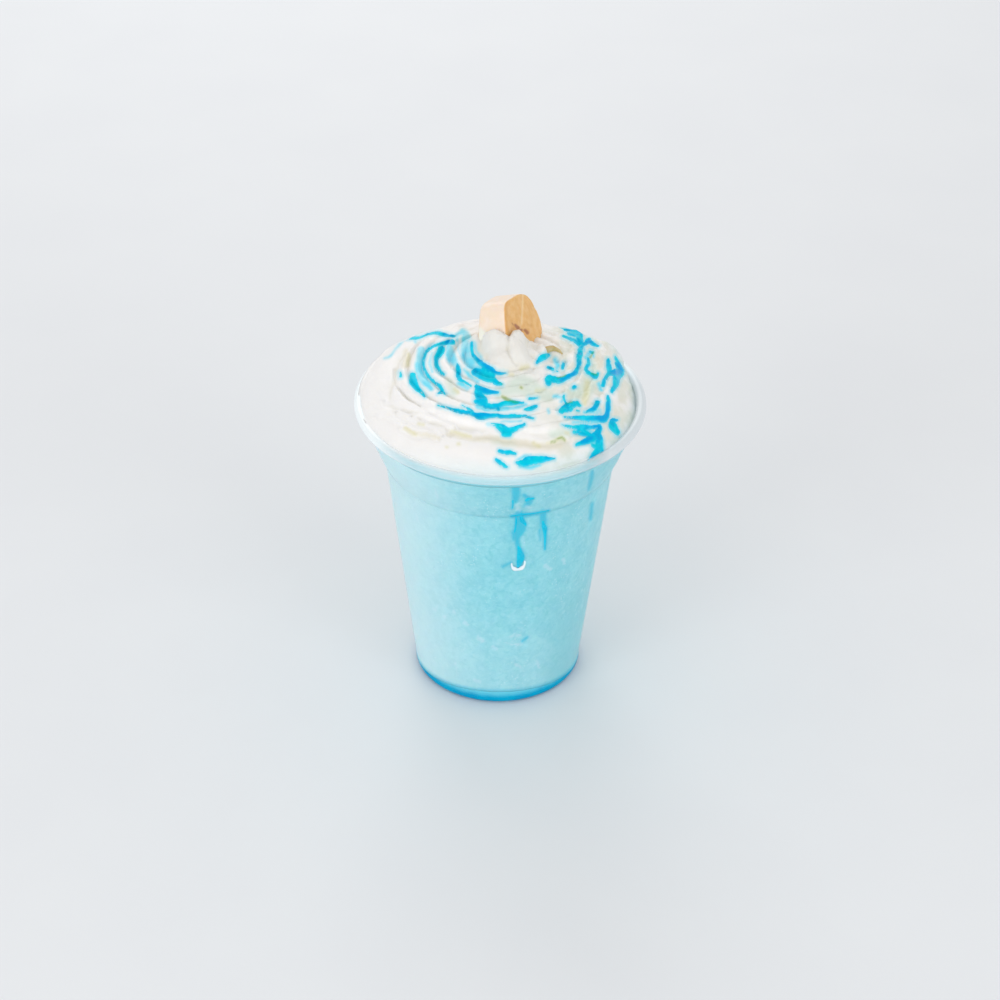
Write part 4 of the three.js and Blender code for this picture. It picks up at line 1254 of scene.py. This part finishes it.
# %% Clear plastic finish
WET_TOP = 117.5
cup_points = about_axis(cup_profile[:, :1], cup_profile[:, 1:], CUP_SECTORS)
wet = soft_inside(to_pixels(cup_points), WALL_RUNS + PALE_RUNS, 2.0, 2.0)
wet = wet * (cup_points[..., 1] < 0) * smooth_step((WET_TOP - cup_points[..., 2]) / 2)
cup = closed_rings("clear_cup", cup_points, {"wet": wet})
MOST_HAZE, WET_CLEARS = 0.22, 0.85
plastic = Finish("clear_plastic", Roughness=0.24, IOR=1.5)
height, right, behind = plastic.along("Z"), plastic.along("X"), plastic.along("Y")
# Painted sheen: the rim is milkier at the left and right, where light catches its sides.
rim = height.step(FLARE_TOP - 0.4, FLARE_TOP + 0.5) * (0.28 + 0.6 * (right * right).step(900, 2300))
smear = right.step(32, 47) * height.step(112, 117) * behind.step(24, 8) * (0.35 + 0.5 * plastic.noise(7, 3.0))
shaded = right.step(24, 44) * height.step(108, 114) * behind.step(26, 6)
milky = plastic.coats(
    plastic.mix(plastic.noise(20), (232, 243, 247), (242, 248, 250)),
    (shaded * 0.85, (204, 213, 218)),
)
plastic.vary({"Base Color": milky})
edge_on = plastic.node("ShaderNodeLayerWeight", None, {"Blend": 0.5}, "Facing")
sheen = plastic.node("ShaderNodeFresnel", None, {"IOR": 1.5})
clear = plastic.node("ShaderNodeBsdfTransparent", None, {"Color": (0.97, 0.99, 1.0, 1.0)})
streaky = plastic.noise(6, 3.0, stretch=(1, 1, 0.3))
# Painted sheen: the haze is stronger on the left, X below zero, for the light from that side.
haze_and_left_sheen = edge_on * (0.1 + 0.4 * right.step(2, -32)) + 0.04 * streaky + 0.7 * sheen
cover = haze_and_left_sheen / (1 + haze_and_left_sheen / MOST_HAZE) + rim + smear
on_ledge = height.step(96.9, 97.5) * height.step(98.6, 98.0)
cover = cover * (1 - 0.95 * height.step(9, 4)) * (1 - 0.6 * on_ledge)
cover = cover * (1 - WET_CLEARS * plastic.value("wet"))
lit_through = 1 - plastic.node("ShaderNodeLightPath", output="Is Shadow Ray")
film = plastic.node("ShaderNodeMixShader", None, {0: cover.at_most(1.0) * lit_through, 1: clear})
plastic.tree.links.new(plastic.shader.outputs[0], film.socket.node.inputs[2])
plastic.tree.links.new(film.socket, plastic.surface)
give(cup, plastic, "cup", "cup")

# %% [markdown]
# The drop on the cup
# The longest run ends in a drop, and under it a small bright curl is a painted highlight: a pale piece
# that stands for the light caught by the drop's lower edge. The curl is a half ring: a round section
# carried along an arc on the wall, thick in the middle.

# %% Highlight under the drop
CURL_HEIGHT, CURL_BEARING = 74.0, math.radians(-79.6)
CURL_RADIUS, CURL_THICK, CURL_TIP = 2.5, 0.7, 0.02
along = np.radians(np.linspace(168, 384, 40))[:, None]
about = np.linspace(0, 2 * np.pi, 16, endpoint=False)
from_middle = (along - along.mean()) / (along.max() - along.mean())
thick = CURL_THICK * np.sqrt(np.clip(1 - from_middle**2, CURL_TIP, 1)) * (1 + 0.25 * np.sin(5 * along))
reach = CURL_RADIUS + thick * np.cos(about)
sideways, above = reach * np.cos(along), 1.15 * reach * np.sin(along)
level = CURL_HEIGHT + above
proud = wall_radius(level) + 0.6 * thick * np.sin(about) + 0.1
turn = CURL_BEARING + sideways / wall_radius(CURL_HEIGHT)
curl = closed_rings("drop_glint", turned(proud, turn, level))
glint = Finish("painted_glint", Roughness=0.25, Subsurface_Weight=0.2, Subsurface_Scale=0.001)
# The bright bluish white of the painted highlight.
glint.vary({"Base Color": glint.mix(glint.noise(1.5), (216, 234, 246), (236, 245, 250))})
give(curl, glint, "cream")

# %% [markdown]
# Banana
# A thick slice stands on edge in the cream, and a thin end lies to the right of the peak. Each is a
# profile carried round its outline: out over the cut face, round the soft edge, along the flank and back
# over the far face. The flank spreads a little, and a slice is thicker at its foot, like a wedge. The cut
# face is a little sunk in the middle, where the seeds are.

# %% Banana slices
SLICE = {"face": (8.6, 14, 143.9), "turn": -25, "lean": 23, "thickness": 12.4}
SLIVER = {"face": (19.0, 6.2, 136.0), "turn": -75, "lean": 35, "thickness": 3.4}
SOFT = 0.7
FACE_ROWS, EDGE_ROWS, FLANK_ROWS = 44, 8, 28
SPREAD, WEDGE, WEDGE_LEVEL = 0.003, 0.014, 4
SLICE_RADIUS = 12.9
SLIVER_WIDE, SLIVER_HIGH = 4.8, 4.3
FAR_OFF = 9
SEED_CENTRE = np.array([-2.6, -0.6])
SEAM_ANGLES = np.radians([46, 166, 286])
SEED_MARKS = [
    [(513.4, 325, 1.2), (515.8, 327.8, 1.9)],
    [(518, 329.6, 1.2), (519.6, 330, 1.1)],
    [(523.2, 330.2, 1.3), (525.6, 332.6, 1.6)],
    [(510.4, 323.4, 0.3), (511.4, 325, 0.4)],
]
BROWN_MARKS = [
    [(509, 321, 1), (512, 327, 2.8), (518, 331, 2.4), (526, 330, 1.8)],
    [(526, 325, 1.2), (529.5, 326, 1.6)],
    [(504, 300, 1.4), (504, 330, 2)],
]
CREAM_FILM = [[(470, 322, 5.0), (477, 333, 6.0), (486, 342, 7.0), (500, 345, 7.0)]]


def slice_outline(angle):
    """A circle with five soft corners, one of them a little sharper."""
    rounded = SLICE_RADIUS + 0.35 * np.cos(5 * (angle - math.radians(114)))
    return rounded + bump(angle, 1, 114, 14) + bump(angle, 0.9, 192, 30)


def sliver_outline(angle):
    """An oval: the product of its half axes over the length of (high cos, wide sin)."""
    return SLIVER_WIDE * SLIVER_HIGH / np.hypot(SLIVER_HIGH * np.cos(angle), SLIVER_WIDE * np.sin(angle))


def seam_distance(across, above):
    """How far a place on the cut face is from the nearest of the three seams that run out from the
    seeds, and how far from the seeds themselves."""
    du, dv = across - SEED_CENTRE[0], above - SEED_CENTRE[1]
    off = []
    for angle in SEAM_ANGLES:
        beside = np.abs(dv * np.cos(angle) - du * np.sin(angle))
        behind_seeds = du * np.cos(angle) + dv * np.sin(angle) < 0
        off.append(beside + FAR_OFF * behind_seeds)
    return np.minimum.reduce(off), np.hypot(du, dv)


def slice_axes(spec):
    """The three directions of a slice: sideways, upward and the way its cut face looks."""
    turn, lean = math.radians(spec["turn"]), math.radians(spec["lean"])
    looks = np.array([math.cos(lean) * math.cos(turn), math.cos(lean) * math.sin(turn), math.sin(lean)])
    upward = np.array([0, 0, 1]) - looks * looks[2]
    upward = upward / np.linalg.norm(upward)
    return np.cross(upward, looks), upward, looks


def slice_profile(outline, angle, deep):
    """Radius and drop of each ring: over the front face, round its edge by a quarter circle, along the
    flank, round the other edge and over the back face. The radius grows by the spread with the drop,
    and the drop by the wedge towards the foot."""
    flat = (outline(angle) - SOFT) * np.linspace(0.04, 1, FACE_ROWS)[:, None]
    round_off = np.radians(np.linspace(0, 90, EDGE_ROWS))[1:, None]
    shoulder = outline(angle) - SOFT + SOFT * np.sin(round_off)
    flank = outline(angle) + np.zeros((FLANK_ROWS - 2, 1))
    radius = np.vstack([flat, shoulder, flank, shoulder[::-1], flat[::-1]])
    near_drop = SOFT * (1 - np.cos(round_off)) + 0 * angle
    flank_drop = np.linspace(SOFT, deep - SOFT, FLANK_ROWS)[1:-1, None] + 0 * angle
    drop = np.vstack([0 * flat, near_drop, flank_drop, deep - near_drop[::-1], deep + 0 * flat])
    radius = radius * (1 + SPREAD * drop)
    return radius, drop * (1 + WEDGE * (WEDGE_LEVEL - radius * np.sin(angle)))


def banana_piece(name, outline, spec, columns):
    """The rings of the profile, with a dish at the seeds exp(-(d / 3.4)^2) and a furrow along the seams
    exp(-(s / 0.5)^2), noise from the knife on the faces and noise on the flank, set along the three
    directions of the slice."""
    angle = np.linspace(0, 2 * np.pi, columns, endpoint=False)
    sideways, upward, looks = slice_axes(spec)
    deep = spec["thickness"]
    radius, drop = slice_profile(outline, angle, deep)
    across, above = radius * np.cos(angle), radius * np.sin(angle)
    face = smooth_step(1.2 - drop / 0.5)
    back = smooth_step((drop / (1 + WEDGE * (WEDGE_LEVEL - above)) - deep + 0.6) / 0.5)
    seam, centre = seam_distance(across, above)
    dish = 0.35 * np.exp(-((centre / 3.4) ** 2)) + 0.18 * np.exp(-((seam / 0.5) ** 2)) * (centre > 1)
    cut = 0.12 * lumps(across, above, 2.4, 41) + 0.06 * lumps(across, above, 0.9, 42)
    drop = drop + face * (dish + cut) - back * cut
    skin = 0.16 * lumps(angle * 6 + 0 * drop, drop, 2.6, 43) + 0.05 * lumps(across, drop, 0.8, 44)
    swell = (1 - face) * (1 - back) * skin
    across, above = across + swell * np.cos(angle), above + swell * np.sin(angle)
    places = np.array(spec["face"]) + across[..., None] * sideways + above[..., None] * upward
    rings = places - drop[..., None] * looks
    bent = unsteady(to_pixels(rings), 0.5)
    marks = {
        "seed": soft_inside(bent, SEED_MARKS, 1.0, 2.0),
        "brown": soft_inside(bent, BROWN_MARKS, 1.5, 3.5),
        "film": soft_inside(bent, CREAM_FILM, 1.0, 4.0) * (1 - face),
    }
    shape = {"across": across, "above": above, "face": np.maximum(face, back)}
    return closed_rings(name, rings, {**shape, "seam": seam, "centre": centre, **marks})


slice_piece = banana_piece("banana_slice_flesh", slice_outline, SLICE, 220)
sliver_piece = banana_piece("banana_end_flesh", sliver_outline, SLIVER, 90)

# %% [markdown]
# Banana flesh
# The flank, where the peel was, is pale cream. The cut face is deeper yellow, with fine fibres that run
# outward, three pale seams, and brown seed marks round the middle.

# %% Banana finish
flesh = Finish("banana_flesh", Roughness=0.38, Subsurface_Weight=0.2, Subsurface_Scale=0.002,
               Subsurface_Radius=(1.0, 0.7, 0.35))
cut_face, centre = flesh.value("face"), flesh.value("centre")
plane = flesh.node("ShaderNodeCombineXYZ", None, {"X": flesh.value("across"), "Y": flesh.value("above")})
mottle = flesh.node("ShaderNodeTexNoise", None, {"Vector": plane, "Scale": 0.35, "Detail": 3.0})
stretched = {"Vector": plane, "Scale": (1.2, 0.2, 1), "Rotation": (0, 0, 0.3)}
streaks = flesh.node("ShaderNodeMapping", None, stretched)
fibre = flesh.node("ShaderNodeTexNoise", None, {"Vector": streaks, "Scale": 0.8, "Detail": 3.0})
cut_colour = flesh.coats(
    flesh.mix(mottle.step(0.35, 0.65), (227, 177, 108), (233, 189, 128)),
    (fibre.step(0.5, 0.72) * 0.5, (219, 167, 92)),
    (flesh.value("seam").step(1.2, 0.1) * centre.step(1.5, 4) * 0.6, (242, 214, 168)),
    (flesh.value("brown") * 0.5, (208, 152, 76)),
    (flesh.value("seed") * 0.85, (160, 98, 70)),
)
flank_colour = flesh.coats(
    flesh.mix(flesh.noise(4, 3.0).step(0.35, 0.7), (241, 221, 199), (243, 226, 211)),
    (flesh.value("film") * 0.9, (238, 238, 226)),
)
flesh.vary({"Base Color": flesh.mix(cut_face, flank_colour, cut_colour)})
flesh.relief(fibre, 0.1)
give(slice_piece, flesh, "banana", "banana_slice")

# %% [markdown]
# The banana end
# The thin end is duller and browner than the slice. It is small and half covered, so two layers of noise
# are enough, without fibres or seams.

# %% Finish of the banana end
end_flesh = Finish("banana_end", Roughness=0.4, Subsurface_Weight=0.2, Subsurface_Scale=0.002)
colour = end_flesh.coats(
    end_flesh.mix(end_flesh.noise(3, 3.0).step(0.35, 0.65), (178, 160, 94), (198, 174, 122)),
    (end_flesh.noise(1.2, 2.0) * 0.4, (222, 210, 172)),
)
end_flesh.vary({"Base Color": colour})
end_flesh.relief(end_flesh.noise(1.5, 3.0), 0.1)
give(sliver_piece, end_flesh, "banana", "banana_sliver")

# %% [markdown]
# Floor, light and the end
# A pale floor and three soft lamps, as in a studio: the strongest from the left and the front, a weaker
# one from the right and the front, and one from behind and above. The Standard view keeps the colours as
# they are painted.

# %% Floor and lamps
LAMP_AIM = Vector((0, 0, 0.09))
floor_mesh = bpy.data.meshes.new("floor")
floor_mesh.from_pydata([(-6, -6, 0), (6, -6, 0), (6, 6, 0), (-6, 6, 0)], [], [(0, 1, 2, 3)])
floor = bpy.data.objects.new("floor", floor_mesh)
bpy.context.scene.collection.objects.link(floor)
pale_floor = Finish("pale_floor", Roughness=0.75)
pale_floor.vary({"Base Color": pale_floor.mix(pale_floor.noise(60), (222, 225, 229), (226, 229, 232))})
floor_mesh.materials.append(pale_floor.material)


def lamp(name, place, size, power):
    """A round soft lamp that looks at the middle of the cup."""
    data = bpy.data.lights.new(name, "AREA")
    data.shape, data.size, data.energy = "DISK", size, power
    light = bpy.data.objects.new(name, data)
    light.location = place
    light.rotation_mode = "QUATERNION"
    light.rotation_quaternion = (LAMP_AIM - Vector(place)).to_track_quat("-Z", "Y")
    bpy.context.scene.collection.objects.link(light)
    print("lamp", name, power, "watts")


lamp("key", (-0.85, -0.9, 0.42), 0.7, 4.0)
lamp("fill", (0.8, -0.8, 0.4), 0.7, 2.8)
lamp("back", (-0.2, 1.1, 0.75), 0.8, 3.2)
world = bpy.data.worlds.new("studio")
world.use_nodes = True
world.node_tree.nodes["Background"].inputs["Color"].default_value = (1.0, 0.99, 0.98, 1)
world.node_tree.nodes["Background"].inputs["Strength"].default_value = 0.82
bpy.context.scene.world = world
bpy.context.scene.view_settings.view_transform = "Standard"
